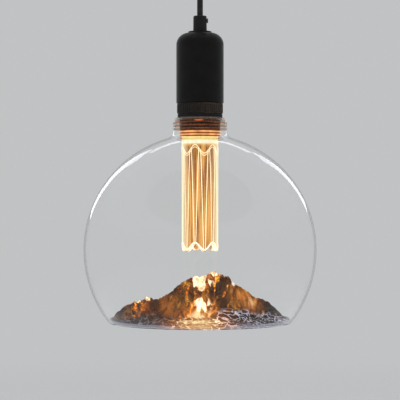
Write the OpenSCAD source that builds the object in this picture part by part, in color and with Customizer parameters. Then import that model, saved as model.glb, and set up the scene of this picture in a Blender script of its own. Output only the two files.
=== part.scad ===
// Globe LED bulb with a light guide and a glass mountain in its base,
// hanging in its pendant lampholder from a short cord and a ceiling cup.
// Millimetres, +Z up, origin at the middle of the ceiling plate's top face.
// The front is -Y.

/* [Ceiling fitting] */
// Outer diameter of the ceiling cup
cup_d = 60; // [56:1:80]
// Height of the ceiling cup
cup_h = 25; // [23:1:34]
// Wall of the ceiling cup
cup_wall = 1.6; // [1.2:0.2:2.4]
// Rounding of the cup's lower edge
cup_round = 5; // [3:1:7]
// Thickness of the fixing plate
plate_t = 2; // [1.5:0.5:3]
// Spacing of the two fixing holes
fixing_pitch = 40; // [36:1:42]
// Diameter of the two fixing holes
fixing_hole_d = 4.4; // [3.4:0.2:5]
// Diameter of the hole for the supply cable
supply_hole_d = 9; // [7:0.5:11]
// Depth of the two lugs that the cup's screws go into
lug_h = 10; // [9:0.5:12]

/* [Cord] */
// Diameter of the cord
cord_d = 5; // [4:0.1:6]
// Outer diameter of each cord grip
grip_d = 11.8; // [11:0.2:14]
// Length of the cord grip on the ceiling cup
cup_grip_h = 10; // [8:0.5:14]
// Length of the cord grip on the lampholder
grip_h = 13.4; // [10:0.2:18]
// Diameter of each grip's threaded stem
stem_d = 9.8; // [9:0.1:10]
// Length of each grip's threaded stem
stem_h = 8; // [7:0.5:10]
// Drop from the ceiling to the top of the lampholder's cord grip
drop = 79.8; // [70:0.2:90]

/* [Lampholder] */
// Outer diameter of the lampholder's shell
holder_d = 40.8; // [40:0.2:48]
// Height of the lampholder's shell
holder_h = 61.8; // [58:0.2:76]
// Wall of the lampholder's shell
holder_wall = 1.2; // [0.8:0.1:1.6]
// Diameter of the raised disc on top of the shell
holder_top_d = 20.4; // [19:0.2:24]
// Height of the raised disc on top of the shell
holder_top_h = 1.4; // [0.8:0.1:2.4]
// Height of the ribbed band under the shell
band_h = 9.3; // [6:0.1:12]
// Outer diameter of the ribbed band
band_d = 39.6; // [39:0.1:40]
// Number of ribs round the band
rib_count = 56; // [40:1:72]
// Depth of the ribs
rib_depth = 0.5; // [0.3:0.1:0.8]
// Thickness of the rubber seal
seal_t = 2.35; // [1.5:0.05:4]
// Outer diameter of the rubber seal
seal_d = 39.2; // [38:0.1:40]

/* [Screw cap] */
// Outer diameter of the bulb's screw cap
cap_d = 26.2; // [26:0.1:26.4]
// Height of the cap's threaded shell
cap_h = 22; // [20:0.5:24]
// Sheet thickness of the cap
cap_t = 0.4; // [0.3:0.05:0.6]
// Thickness of the lampholder's threaded sleeve
sleeve_t = 0.45; // [0.3:0.05:0.6]

/* [Bulb neck] */
// Outer diameter of the ringed collar between its rings
collar_d = 34.8; // [34:0.2:36]
// How far each ring stands out of the collar
ring_out = 0.6; // [0.4:0.1:0.8]
// Spacing of the rings
ring_pitch = 2.8; // [2.4:0.1:3]
// Number of rings
ring_count = 5; // [3:1:5]
// Height of the collar
collar_h = 17.4; // [17:0.1:20]
// Wall of the collar
collar_wall = 1.2; // [1:0.1:1.3]

/* [Light guide] */
// Outer diameter of the light guide tube
guide_d = 31.2; // [30:0.1:31.2]
// Wall of the light guide tube
guide_wall = 3; // [2.5:0.1:4]
// Whole length of the light guide tube
guide_h = 105; // [70:1:112]
// Number of waves round the lower edge
wave_count = 6; // [4:1:9]
// Height of the waves from low to high
wave_h = 6.1; // [2:0.1:9]
// Turn of the waves about the tube
wave_turn = 14; // [0:1:60]
// Number of light-emitting chips
chip_count = 16; // [8:1:20]

/* [Globe] */
// Outer diameter of the glass globe
globe_d = 200; // [190:1:210]
// Wall of the glass
glass_wall = 1.2; // [1:0.1:2]
// Outer diameter of the glass neck
neck_d = 46; // [45:0.2:50]
// Straight length of the glass neck
neck_h = 10.6; // [9:0.2:14]
// Rounding of the neck's top edge
neck_round = 3; // [2:0.2:3.2]
// Radius of the flare from the neck into the globe
flare_r = 7; // [4:0.5:12]
// Diameter of the flat base
base_d = 156.6; // [140:1:164]
// Width of the rim that the glass mountain lies on
base_rim_w = 4; // [3:0.5:6]

/* [Mountain] */
// Height of the main peak above the base
peak_h = 43; // [25:1:50]
// Thickness of the relief
relief_t = 2; // [1.6:0.1:3]
// Steepness of the front flank, as height lost per distance
front_slope = 1.5; // [0.8:0.1:2.4]
// Steepness of the back flank, as height lost per distance
back_slope = 0.9; // [0.7:0.1:1.6]
// How far the spurs stand out of the flanks
spur_h = 4.2; // [0:0.2:5]
// Spacing of the spurs along the crest
spur_pitch = 17; // [12:1:30]

/* [Hidden] */
$fn = 96;

// Clearances
slip = 0.15;        // between flat faces of pieces that move apart
seat = 0.05;        // between a piece and its seat
fit = 0.3;          // between shells that slide into each other
turn_gap = 0.4;     // between the cap's thread and the sleeve
contact_gap = 0.3;  // between the cap's tip and the centre contact
cord_gap = 0.25;    // between the cord and the bores that it passes

// Screws and nuts
screw_r = 1.45;
screw_hole_r = screw_r + seat;
screw_head_r = 2.6;
screw_head_h = 1.5;
nut_across = 14;
nut_h = 3;

// Ceiling fitting, from the ceiling down
cup_r = cup_d / 2;
plate_r = cup_r - cup_wall - fit;
lug_w = 8;
lug_t = 2;
lug_y = sqrt(pow(plate_r, 2) - pow(lug_w / 2, 2)) - lug_t - fit;
lug_screw_z = -plate_t - 0.55 * lug_h;
block_w = 16;
block_depth = 9;
block_h = 9;
block_front = supply_hole_d / 2 + 3;
block_y = block_front + block_depth / 2;
block_pole = 4;
block_screw_out = 0.4;
block_wire_z = -plate_t - block_h / 2;
stem_r = stem_d / 2;
stem_hole_r = stem_r + seat;
grip_r = grip_d / 2;
cord_r = cord_d / 2;
cord_hole_r = cord_r + cord_gap;

// Route of the taut cord, from inside the cup to inside the lampholder
CORD_POINTS = [
    [0, 0, -12], [0, 0, -18], [0, 0, -24], [0, 0, -30],
    [0, 0, -36], [0, 0, -42], [0, 0, -48], [0, 0, -54],
    [0, 0, -60], [0, 0, -66], [0, 0, -72], [0, 0, -78],
    [0, 0, -84], [0, 0, -90], [0, 0, -96], [0, 0, -102]
];
cord_top = CORD_POINTS[0];
cord_end = CORD_POINTS[len(CORD_POINTS) - 1];
cord_sides = 12;
wire_r = 0.7;
wire_sides = 8;
wire_steps = 4;
wire_apart = 1.1;
wire_held = 1.5;

// Lampholder, from its grip down
grip_top_z = -drop;
grip_screw_drop = 4.1;
grip_chamfer = 1;
grip_head_r = 2;
grip_head_h = 1.1;
shell_top_z = grip_top_z - grip_h;
shell_bottom_z = shell_top_z - holder_h;
holder_r = holder_d / 2;
holder_top_r = holder_top_d / 2;
shoulder_r = holder_r - holder_top_r;
shoulder_z = shell_top_z - holder_top_h - shoulder_r;
shell_roof_z = shell_top_z - holder_top_h - holder_wall;
edge = 0.6;
band_r = band_d / 2;
band_bottom_z = shell_bottom_z - band_h;
spigot_r = holder_r - holder_wall - fit;
spigot_h = 6;
seal_r = seal_d / 2;

// Screw cap and what it screws into, measured from the bulb's flange
bulb_zero = band_bottom_z - slip - seal_t - slip;
cap_r = cap_d / 2;
cap_foot = 3;
cap_top = cap_foot + cap_h;
cap_shoulder = 1.4;
insulator_h = 3.2;
tip_h = 1.3;
tip_r = 4.8;
tip_top = cap_top + insulator_h + tip_h;
housing_r = cap_r - cap_t - seat;
housing_wall = 1.2;
housing_bore_r = housing_r - housing_wall;
housing_foot_r = cap_r + turn_gap + sleeve_t + 0.25;
housing_flange_t = 0.9;
housing_skirt_h = 4;
sleeve_in_r = cap_r + turn_gap;
sleeve_r = sleeve_in_r + sleeve_t;
insert_r = spigot_r;
insert_bore_r = sleeve_r + seat;
insert_neck_r = insert_bore_r + 2;
insert_bottom_z = bulb_zero + cap_foot + slip;
sleeve_top_z = bulb_zero + cap_top + 1;
chamber_r = 9.5;
leaf_rise = 4;
chamber_top_z = bulb_zero + tip_top + contact_gap + leaf_rise;
insert_floor = 8;
insert_top_z = chamber_top_z + insert_floor;
insert_step_z = shell_bottom_z + spigot_h + seat;
strap_t = 0.8;
strap_w = 5;
tab_reach = 9;
terminal_x = 10;
terminal_screw_h = 6;
centre_strap_x = 4;
side_strap_z = sleeve_top_z - 5;
leaf_flat = 1.5;
leaf_lift = 2;

// Collar, light source and light guide, measured from the bulb's flange
collar_top = -housing_flange_t;
collar_bottom = collar_top - collar_h;
collar_r = collar_d / 2;
collar_in_r = collar_r - collar_wall;
collar_band_h = 1.5;
ring_first = collar_top - 3.5;
skirt_r = collar_in_r - seat;
sink_top = collar_top - housing_skirt_h;
sink_h = 3;
sink_hole_r = 3;
led_board_top = sink_top - sink_h;
led_board_t = 1.2;
chip_w = 2.8;
chip_h = 0.8;
chip_bottom = led_board_top - led_board_t - chip_h;
guide_r = guide_d / 2;
guide_in_r = guide_r - guide_wall;
guide_top = chip_bottom - fit;
guide_low = guide_top - guide_h;
guide_sides = 96;
gasket_h = 6;

// Driver in the cap, measured from the bulb's flange
board_w = 2 * (housing_bore_r - 0.2);
board_t = 1.6;
board_bottom = -3;
fuse_room = 7;
board_top = cap_top - fuse_room;
capacitor_r = 4;
capacitor_h = 11;
capacitor_x = 3.6;
capacitor_z = 1;
coil_r = 4;
coil_h = 6.5;
coil_x = -3.4;
coil_z = 5;
fuse_r = 1.3;
fuse_h = 4.4;
lead_r = 0.35;
lead_top = 0.5;
lead_apart = 1.3;
// Chips on the driver board: place across, place up, width, height,
// thickness, and side of the board, -1 for its front
DRIVER_CHIPS = [
    [2.4, 1, 4, 5, 1.6, -1],
    [2, 9, 5, 4.5, 2.4, -1],
    [-6.5, 8, 4.5, 3, 2, 1]
];

// Glass, measured from the bulb's flange
globe_r = globe_d / 2;
neck_r = neck_d / 2;
neck_in_r = neck_r - glass_wall;
lip_in_r = collar_r + ring_out + 0.7;
neck_top = -housing_flange_t;
flare_z = neck_top - neck_h;
flare_x = neck_r + flare_r;
globe_z = flare_z - sqrt(pow(globe_r + flare_r, 2) - pow(flare_x, 2));
flare_angle = acos(flare_x / (globe_r + flare_r));
base_r = base_d / 2;
base_drop = sqrt(pow(globe_r, 2) - pow(base_r, 2));
base_z = globe_z - base_drop;
globe_in_r = globe_r - glass_wall;
rim_top_z = base_z + glass_wall;
rim_in_r = sqrt(pow(globe_in_r, 2) - pow(base_drop - glass_wall, 2));
neck_rings = 3;
neck_ring_out = 0.35;

// Mountain
relief_r = rim_in_r - fit;
relief_flat_w = 3;
relief_rings = 26;
relief_sides = 72;
rim_slope = 4;
spur_start = 9;
spur_shift = 9;
spur_run = 28.6;

// Height of the crest seen from the front: place across, as a share of
// the base's radius, and height, as a share of the main peak's
CREST = [
    [-0.98, 0.05], [-0.93, 0.19], [-0.86, 0.29], [-0.74, 0.39],
    [-0.58, 0.49], [-0.50, 0.42], [-0.42, 0.48], [-0.31, 0.60],
    [-0.26, 0.72], [-0.06, 0.90], [0.05, 0.90], [0.16, 1.00],
    [0.24, 0.93], [0.32, 0.90], [0.36, 0.79], [0.46, 0.70],
    [0.61, 0.48], [0.69, 0.45], [0.78, 0.36], [0.91, 0.14],
    [0.98, 0.03]
];
// Line of the crest seen from above: place across and place in depth,
// both as a share of the base's radius
CREST_LINE = [
    [-1, -0.08], [-0.72, -0.04], [-0.50, 0.20], [-0.26, 0.06],
    [0.16, 0.16], [0.36, 0.02], [0.62, 0.18], [1, 0.06]
];

// Points of an arc in the plane, from one angle to another
function arc(centre, r, from, to, steps) = [
    for (i = [0 : steps])
        let (a = from + (to - from) * i / steps)
        centre + r * [cos(a), sin(a)]
];

// Direction of a route at one of its points
function heading(route, i) =
    let (a = route[max(i - 1, 0)], b = route[min(i + 1, len(route) - 1)])
    (b - a) / norm(b - a);

// Smooth route through a few points
function smooth_route(points, steps) = [
    for (i = [0 : len(points) - 2], k = [0 : steps - 1])
        let (
            t = k / steps,
            p0 = points[max(i - 1, 0)],
            p1 = points[i],
            p2 = points[i + 1],
            p3 = points[min(i + 2, len(points) - 1)]
        )
        0.5 * (2 * p1 + (p2 - p0) * t
            + (2 * p0 - 5 * p1 + 4 * p2 - p3) * t * t
            + (3 * p1 - p0 - 3 * p2 + p3) * t * t * t),
    points[len(points) - 1]
];

// Round tube swept along a route, where no part of it runs along side
module swept_tube(route, r, sides, side = [1, 0, 0]) {
    count = len(route);
    points = [
        for (i = [0 : count - 1])
            let (
                ahead = heading(route, i),
                across = cross(ahead, side) / norm(cross(ahead, side)),
                up = cross(across, ahead)
            )
            for (k = [0 : sides - 1])
                let (a = 360 * k / sides)
                route[i] + r * (across * cos(a) + up * sin(a))
    ];
    first = [for (k = [0 : sides - 1]) k];
    last = [for (k = [sides - 1 : -1 : 0]) (count - 1) * sides + k];
    walls = [
        for (i = [0 : count - 2], k = [0 : sides - 1])
            let (n = (k + 1) % sides)
            [i * sides + k, (i + 1) * sides + k, (i + 1) * sides + n, i * sides + n]
    ];
    polyhedron(points, concat([first], walls, [last]));
}

// Tube with its top at a height
module tube(r, bore_r, top, h) {
    translate([0, 0, top - h])
        difference() {
            cylinder(h = h, r = r);
            translate([0, 0, -1]) cylinder(h = h + 2, r = bore_r);
        }
}

// Cylinder along +X from a point
module x_rod(from, r, h) {
    translate(from) rotate([0, 90, 0]) cylinder(h = h, r = r);
}

// Screw along -Z with its head on top of a height
module down_screw(place, seat_z, shank_h) {
    translate([place[0], place[1], seat_z]) {
        cylinder(h = screw_head_h, r = screw_head_r);
        translate([0, 0, -shank_h]) cylinder(h = shank_h + 0.5, r = screw_r);
    }
}

// Places what belongs to the bulb, whose own zero is at its flange
module at_bulb() {
    translate([0, 0, bulb_zero]) children();
}

// Both sides, mirrored front to back
module both_ends() {
    for (turn = [0, 180]) rotate([0, 0, turn]) children();
}

// Ceiling fitting

module ceiling_plate() {
    color("silver") difference() {
        union() {
            translate([0, 0, -plate_t]) cylinder(h = plate_t, r = plate_r);
            both_ends()
                translate([-lug_w / 2, lug_y, -plate_t - lug_h])
                    cube([lug_w, lug_t, lug_h + plate_t / 2]);
        }
        for (x = [-1, 1])
            translate([x * fixing_pitch / 2, 0, -plate_t - 1])
                cylinder(h = plate_t + 2, d = fixing_hole_d);
        translate([0, 0, -plate_t - 1]) cylinder(h = plate_t + 2, d = supply_hole_d);
        both_ends()
            translate([0, lug_y - 1, lug_screw_z])
                rotate([-90, 0, 0]) cylinder(h = lug_t + 2, r = screw_hole_r);
    }
}

module ceiling_cup() {
    inner_r = cup_r - cup_wall;
    inner_round = cup_round - cup_wall;
    outer = concat(
        [[stem_hole_r, -cup_h]],
        arc([cup_r - cup_round, -cup_h + cup_round], cup_round, -90, 0, 8),
        [[cup_r, 0], [inner_r, 0]],
        arc([cup_r - cup_round, -cup_h + cup_round], inner_round, 0, -90, 8),
        [[stem_hole_r, -cup_h + cup_wall]]
    );
    color("black") difference() {
        rotate_extrude() polygon(outer);
        both_ends()
            translate([0, inner_r - 1, lug_screw_z])
                rotate([-90, 0, 0]) cylinder(h = cup_wall + 2, r = screw_hole_r);
    }
}

module cup_screws() {
    color("silver") both_ends()
        translate([0, 0, lug_screw_z]) rotate([-90, 0, 0]) {
            translate([0, 0, lug_y - 0.5]) cylinder(h = cup_r - lug_y + 1, r = screw_r);
            translate([0, 0, cup_r]) cylinder(h = screw_head_h, r = screw_head_r);
        }
}

// Grip body that hangs below a wall, with its threaded stem through the wall
module grip_body(top_z, h, stem_up) {
    stem_z = stem_up ? top_z : top_z - h - stem_h;
    screw_z = top_z - (stem_up ? h - grip_screw_drop : grip_screw_drop);
    difference() {
        union() {
            translate([0, 0, top_z - h]) rotate_extrude() polygon([
                [0, 0],
                [grip_r - (stem_up ? grip_chamfer : 0), 0],
                [grip_r, stem_up ? grip_chamfer : 0],
                [grip_r, h - (stem_up ? 0 : grip_chamfer)],
                [grip_r - (stem_up ? 0 : grip_chamfer), h],
                [0, h]
            ]);
            translate([0, 0, stem_up ? stem_z - 1 : stem_z]) cylinder(h = stem_h + 1, r = stem_r);
        }
        translate([0, 0, top_z - h - stem_h - 1])
            cylinder(h = h + 2 * stem_h + 2, r = cord_hole_r);
        x_rod([0, 0, screw_z], screw_hole_r, grip_r + 1);
    }
}

// Side screw that holds the cord in a grip
module grip_screw(z) {
    x_rod([cord_r + seat, 0, z], screw_r, grip_r - cord_r);
    x_rod([grip_r, 0, z], grip_head_r, grip_head_h);
}

module hex_nut(bottom_z) {
    translate([0, 0, bottom_z]) difference() {
        cylinder(h = nut_h, d = nut_across / cos(30), $fn = 6);
        translate([0, 0, -1]) cylinder(h = nut_h + 2, r = stem_hole_r);
    }
}

module cup_cord_grip() {
    color("black") grip_body(-cup_h, cup_grip_h, true);
}

module cup_grip_nut() {
    color("silver") hex_nut(-cup_h + cup_wall);
}

module terminal_block() {
    color("white") difference() {
        translate([-block_w / 2, block_front, -plate_t - block_h])
            cube([block_w, block_depth, block_h]);
        for (x = [-1, 1]) {
            translate([x * block_pole, block_front - 1, block_wire_z])
                rotate([-90, 0, 0]) cylinder(h = block_depth / 2 + 1, r = wire_r + seat);
            translate([x * block_pole, block_y, -plate_t - block_h - 1])
                cylinder(h = block_h / 2 + 1, r = screw_hole_r);
        }
    }
}

module block_screws() {
    color("silver") for (x = [-1, 1])
        translate([x * block_pole, block_y, -plate_t - block_h - block_screw_out])
            cylinder(h = block_h / 2 - wire_r - 0.3, r = screw_r);
}

module cup_wires() {
    color("sienna") for (x = [-1, 1])
        swept_tube(
            smooth_route([
                cord_top + [x * wire_apart, 0, -wire_held],
                cord_top + [x * wire_apart, 0, 0],
                cord_top + [x * wire_apart, 0, 1],
                [x * block_pole, block_front - wire_held - 2, block_wire_z],
                [x * block_pole, block_front - wire_held / 2, block_wire_z],
                [x * block_pole, block_front + wire_held, block_wire_z]
            ], wire_steps),
            wire_r, wire_sides
        );
}

module cord() {
    color("black") difference() {
        swept_tube(CORD_POINTS, cord_r, cord_sides);
        for (x = [-1, 1], end = [cord_top, cord_end])
            translate(end + [x * wire_apart, 0, -wire_held - 0.5])
                cylinder(h = 2 * wire_held + 1, r = wire_r + seat);
    }
}

// Lampholder

module cord_grip() {
    color("black") grip_body(grip_top_z, grip_h, false);
}

module grip_screws() {
    color("dimgray") {
        grip_screw(grip_top_z - grip_screw_drop);
        grip_screw(-cup_h - cup_grip_h + grip_screw_drop);
    }
}

module grip_nut() {
    color("silver") hex_nut(shell_roof_z - nut_h);
}

module holder_shell() {
    inner_r = holder_r - holder_wall;
    centre = [holder_top_r, shoulder_z];
    color("black") rotate_extrude() polygon(concat(
        [
            [stem_hole_r, shell_top_z],
            [holder_top_r - edge, shell_top_z],
            [holder_top_r, shell_top_z - edge]
        ],
        arc(centre, shoulder_r, 90, 0, 14),
        [
            [holder_r, shell_bottom_z + edge],
            [holder_r - edge, shell_bottom_z],
            [inner_r, shell_bottom_z]
        ],
        arc(centre, shoulder_r - holder_wall, 0, 90, 14),
        [[stem_hole_r, shell_roof_z]]
    ));
}

module holder_insert() {
    slot_w = strap_w + 2 * seat;
    slot_t = strap_t + 2 * seat;
    color("saddlebrown") difference() {
        rotate_extrude() polygon([
            [0, insert_top_z],
            [insert_r - 2, insert_top_z],
            [insert_r, insert_top_z - 2],
            [insert_r, insert_step_z],
            [insert_neck_r, insert_step_z],
            [insert_neck_r, insert_bottom_z],
            [insert_bore_r, insert_bottom_z],
            [insert_bore_r, sleeve_top_z + seat],
            [chamber_r, sleeve_top_z + seat],
            [chamber_r, chamber_top_z],
            [0, chamber_top_z]
        ]);
        // slot of the centre contact
        translate([centre_strap_x - seat, -slot_w / 2, chamber_top_z - 1])
            cube([slot_t, slot_w, insert_floor + 2]);
        // slot of the side contact
        translate([-sleeve_r - slot_t - seat, -slot_w / 2, side_strap_z])
            cube([slot_t + seat, slot_w, insert_top_z - side_strap_z + 1]);
        for (x = [-1, 1])
            translate([x * terminal_x, 0, insert_top_z - terminal_screw_h])
                cylinder(h = terminal_screw_h + 1, r = screw_hole_r);
    }
}

module thread_sleeve() {
    color("gold") tube(sleeve_r, sleeve_in_r, sleeve_top_z, sleeve_top_z - insert_bottom_z);
}

module centre_contact() {
    low = bulb_zero + tip_top + contact_gap;
    color("gold") difference() {
        translate([0, strap_w / 2, 0]) rotate([90, 0, 0]) linear_extrude(height = strap_w) polygon([
            [centre_strap_x, insert_top_z + strap_t],
            [centre_strap_x, chamber_top_z - strap_t],
            [leaf_flat, low + strap_t],
            [-leaf_flat, low + strap_t],
            [-leaf_flat - leaf_lift, low + leaf_lift + strap_t],
            [-leaf_flat - leaf_lift, low + leaf_lift],
            [-leaf_flat, low],
            [leaf_flat, low],
            [centre_strap_x + strap_t, chamber_top_z - 1.5 * strap_t],
            [centre_strap_x + strap_t, insert_top_z],
            [centre_strap_x + tab_reach, insert_top_z],
            [centre_strap_x + tab_reach, insert_top_z + strap_t]
        ]);
        translate([terminal_x, 0, insert_top_z - 1]) cylinder(h = strap_t + 2, r = screw_hole_r);
    }
}

module side_contact() {
    out = -sleeve_r - seat;
    color("gold") difference() {
        union() {
            translate([out - strap_t, -strap_w / 2, side_strap_z + seat])
                cube([strap_t, strap_w, insert_top_z - side_strap_z]);
            translate([out - strap_t, -strap_w / 2, insert_top_z])
                cube([tab_reach, strap_w, strap_t]);
        }
        translate([-terminal_x, 0, insert_top_z - 1]) cylinder(h = strap_t + 2, r = screw_hole_r);
    }
}

module terminal_screws() {
    color("silver") for (x = [-1, 1])
        down_screw([x * terminal_x, 0], insert_top_z + strap_t, terminal_screw_h);
}

// Insulated wire from the cord's lower end to a terminal's tab
module terminal_wire(x) {
    tab_z = insert_top_z + strap_t + wire_r + seat;
    swept_tube(
        smooth_route([
            cord_end + [x * wire_apart, 0, wire_held],
            cord_end + [x * wire_apart, 0, 0],
            cord_end + [x * wire_apart, 0, -1],
            cord_end + [x * 2, 1.5, -5],
            [x * 3.2, 2.5, tab_z + 6],
            [x * 5, 0.8, tab_z + 1],
            [x * (terminal_x - screw_head_r - 1), 0, tab_z]
        ], wire_steps),
        wire_r, wire_sides, [0, 1, 0]
    );
}

module wire_live() {
    color("brown") terminal_wire(1);
}

module wire_neutral() {
    color("royalblue") terminal_wire(-1);
}

// Outline of the ribbed band
function rib_outline(r, depth, count) = [
    for (i = [0 : count - 1], k = [0 : 3])
        let (a = (i + [0, 0.28, 0.5, 0.78][k]) * 360 / count)
        (k == 1 || k == 2 ? r : r - depth) * [cos(a), sin(a)]
];

module knurled_ring() {
    bore_r = insert_neck_r + seat;
    color("black") {
        difference() {
            union() {
                translate([0, 0, band_bottom_z + edge])
                    linear_extrude(height = band_h - 2 * edge)
                        polygon(rib_outline(band_r, rib_depth, rib_count));
                translate([0, 0, band_bottom_z]) cylinder(h = band_h, r = band_r - rib_depth - 0.2);
                translate([0, 0, shell_bottom_z - 1]) cylinder(h = spigot_h + 1, r = spigot_r);
            }
            translate([0, 0, band_bottom_z - 1])
                cylinder(h = band_h + spigot_h + 2, r = bore_r);
        }
    }
}

module seal_ring() {
    color("black") tube(seal_r, housing_foot_r + fit, band_bottom_z - slip, seal_t);
}

// Screw cap

module screw_cap() {
    in_r = cap_r - cap_t;
    color("gold") at_bulb() rotate_extrude() polygon([
        [cap_r, cap_foot],
        [cap_r, cap_top - cap_shoulder],
        [cap_r - cap_shoulder, cap_top],
        [cap_r - cap_shoulder - 1, cap_top],
        [cap_r - cap_shoulder - 1, cap_top - cap_t],
        [in_r - cap_shoulder + 0.2, cap_top - cap_t],
        [in_r, cap_top - cap_shoulder - cap_t],
        [in_r, cap_foot]
    ]);
}

module cap_insulator() {
    foot_r = cap_r - cap_shoulder - 1;
    hole_r = tip_r - 2;
    color("black") at_bulb() rotate_extrude() polygon([
        [hole_r, cap_top - 1],
        [foot_r - seat, cap_top - 1],
        [foot_r - seat, cap_top],
        [foot_r, cap_top],
        [tip_r + 1, cap_top + insulator_h],
        [hole_r, cap_top + insulator_h]
    ]);
}

module cap_contact() {
    hole_r = tip_r - 2;
    color("gold") at_bulb() rotate_extrude() polygon([
        [0, cap_top],
        [hole_r - seat, cap_top],
        [hole_r - seat, cap_top + insulator_h],
        [tip_r, cap_top + insulator_h],
        [tip_r, cap_top + insulator_h + 0.5],
        [tip_r - 1.5, tip_top],
        [0, tip_top]
    ]);
}

module driver_housing() {
    color("white") at_bulb() rotate_extrude() polygon([
        [housing_bore_r, cap_top - 3],
        [housing_r, cap_top - 3],
        [housing_r, cap_foot],
        [housing_foot_r, cap_foot],
        [housing_foot_r, 0],
        [neck_r - neck_round - 0.4, 0],
        [neck_r - neck_round - 0.4, -housing_flange_t],
        [skirt_r, -housing_flange_t],
        [skirt_r, sink_top],
        [skirt_r - housing_wall, sink_top],
        [skirt_r - housing_wall, -housing_flange_t - 0.6],
        [housing_bore_r, -housing_flange_t - 0.6]
    ]);
}

// Driver

module driver_board() {
    color("green") at_bulb()
        translate([-board_w / 2, -board_t / 2, board_bottom])
            cube([board_w, board_t, board_top - board_bottom]);
}

module driver_capacitor() {
    color("navy") at_bulb()
        translate([capacitor_x, board_t / 2 + capacitor_r, capacitor_z]) {
            cylinder(h = capacitor_h - 1, r = capacitor_r);
            cylinder(h = capacitor_h, r = capacitor_r - 0.6);
        }
}

module driver_coil() {
    color("peru") at_bulb()
        translate([coil_x, -board_t / 2, coil_z]) rotate([90, 0, 0]) {
            cylinder(h = 1, r = coil_r);
            cylinder(h = coil_h, r = coil_r - 0.9);
            translate([0, 0, coil_h - 1]) cylinder(h = 1, r = coil_r);
        }
}

module driver_chips() {
    color("dimgray") at_bulb() for (c = DRIVER_CHIPS)
        translate([c[0], c[5] < 0 ? -board_t / 2 - c[4] : board_t / 2, c[1]])
            cube([c[2], c[4], c[3]]);
}

module fuse_resistor() {
    body_z = board_top + (cap_top - board_top - fuse_h) / 2;
    color("seagreen") at_bulb() {
        translate([0, 0, body_z]) cylinder(h = fuse_h, r = fuse_r);
        translate([0, 0, board_top]) cylinder(h = cap_top - board_top, r = lead_r);
    }
}

module lead_neutral() {
    wall = cap_r - cap_t - lead_r - seat;
    color("royalblue") at_bulb() swept_tube(
        smooth_route([
            [-board_w / 2 + 3, 0, board_top],
            [-board_w / 2 + 3, 0, board_top + 3],
            [-wall + 2, 0, cap_top - 2.2],
            [-wall, 0, cap_top - 2.6]
        ], wire_steps),
        lead_r, wire_sides, [0, 1, 0]
    );
}

module board_leads() {
    color("red") at_bulb() for (x = [-1, 1])
        translate([x * lead_apart, board_t / 2 + wire_r, led_board_top])
            cylinder(h = lead_top - led_board_top, r = wire_r);
}

// Light source and light guide

module heat_sink() {
    color("silver") at_bulb() tube(skirt_r, sink_hole_r, sink_top, sink_h);
}

module led_board() {
    color("white") at_bulb() tube(skirt_r, 1, led_board_top, led_board_t);
}

module led_chips() {
    middle_r = guide_r - guide_wall / 2;
    color("khaki") at_bulb() for (i = [0 : chip_count - 1])
        rotate([0, 0, 360 * i / chip_count])
            translate([middle_r - chip_w / 2, -chip_w / 2, chip_bottom])
                cube([chip_w, chip_w, chip_h]);
}

module ring_collar() {
    half = ring_pitch * 0.36;
    color("chocolate") at_bulb() difference() {
        union() {
            translate([0, 0, collar_bottom]) cylinder(h = collar_h, r = collar_r);
            translate([0, 0, collar_top - collar_band_h])
                cylinder(h = collar_band_h, r = collar_r + ring_out);
            for (i = [0 : ring_count - 1])
                translate([0, 0, ring_first - i * ring_pitch]) rotate_extrude() polygon([
                    [collar_r - 0.5, half],
                    [collar_r, half],
                    [collar_r + ring_out, half * 0.35],
                    [collar_r + ring_out, -half * 0.35],
                    [collar_r, -half],
                    [collar_r - 0.5, -half]
                ]);
        }
        translate([0, 0, collar_bottom - 1]) cylinder(h = collar_h + 2, r = collar_in_r);
    }
}

module guide_gasket() {
    color("gray") at_bulb()
        tube(collar_in_r - seat, guide_r + seat, guide_top - 0.5, gasket_h);
}

// Height of the light guide's wavy lower edge
function wave_z(a) = guide_low + wave_h / 2 * (1 - cos(wave_count * (a + 90 - wave_turn)));

module light_guide() {
    n = guide_sides;
    function ring(r, top) = [
        for (k = [0 : n - 1])
            let (a = 360 * k / n)
            [r * cos(a), r * sin(a), top ? guide_top : wave_z(a)]
    ];
    function wall(a, b) = [
        for (k = [0 : n - 1])
            let (m = (k + 1) % n)
            for (face = [[a * n + k, a * n + m, b * n + m], [a * n + k, b * n + m, b * n + k]])
                face
    ];
    color("wheat", 0.9) at_bulb() polyhedron(
        concat(ring(guide_r, true), ring(guide_r, false), ring(guide_in_r, false), ring(guide_in_r, true)),
        concat(wall(0, 1), wall(1, 2), wall(2, 3), wall(3, 0))
    );
}

// Glass

module neck_cement() {
    color("lightgray") at_bulb()
        tube(lip_in_r - seat, collar_r + ring_out + seat, neck_top, glass_wall + 0.4);
}

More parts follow.
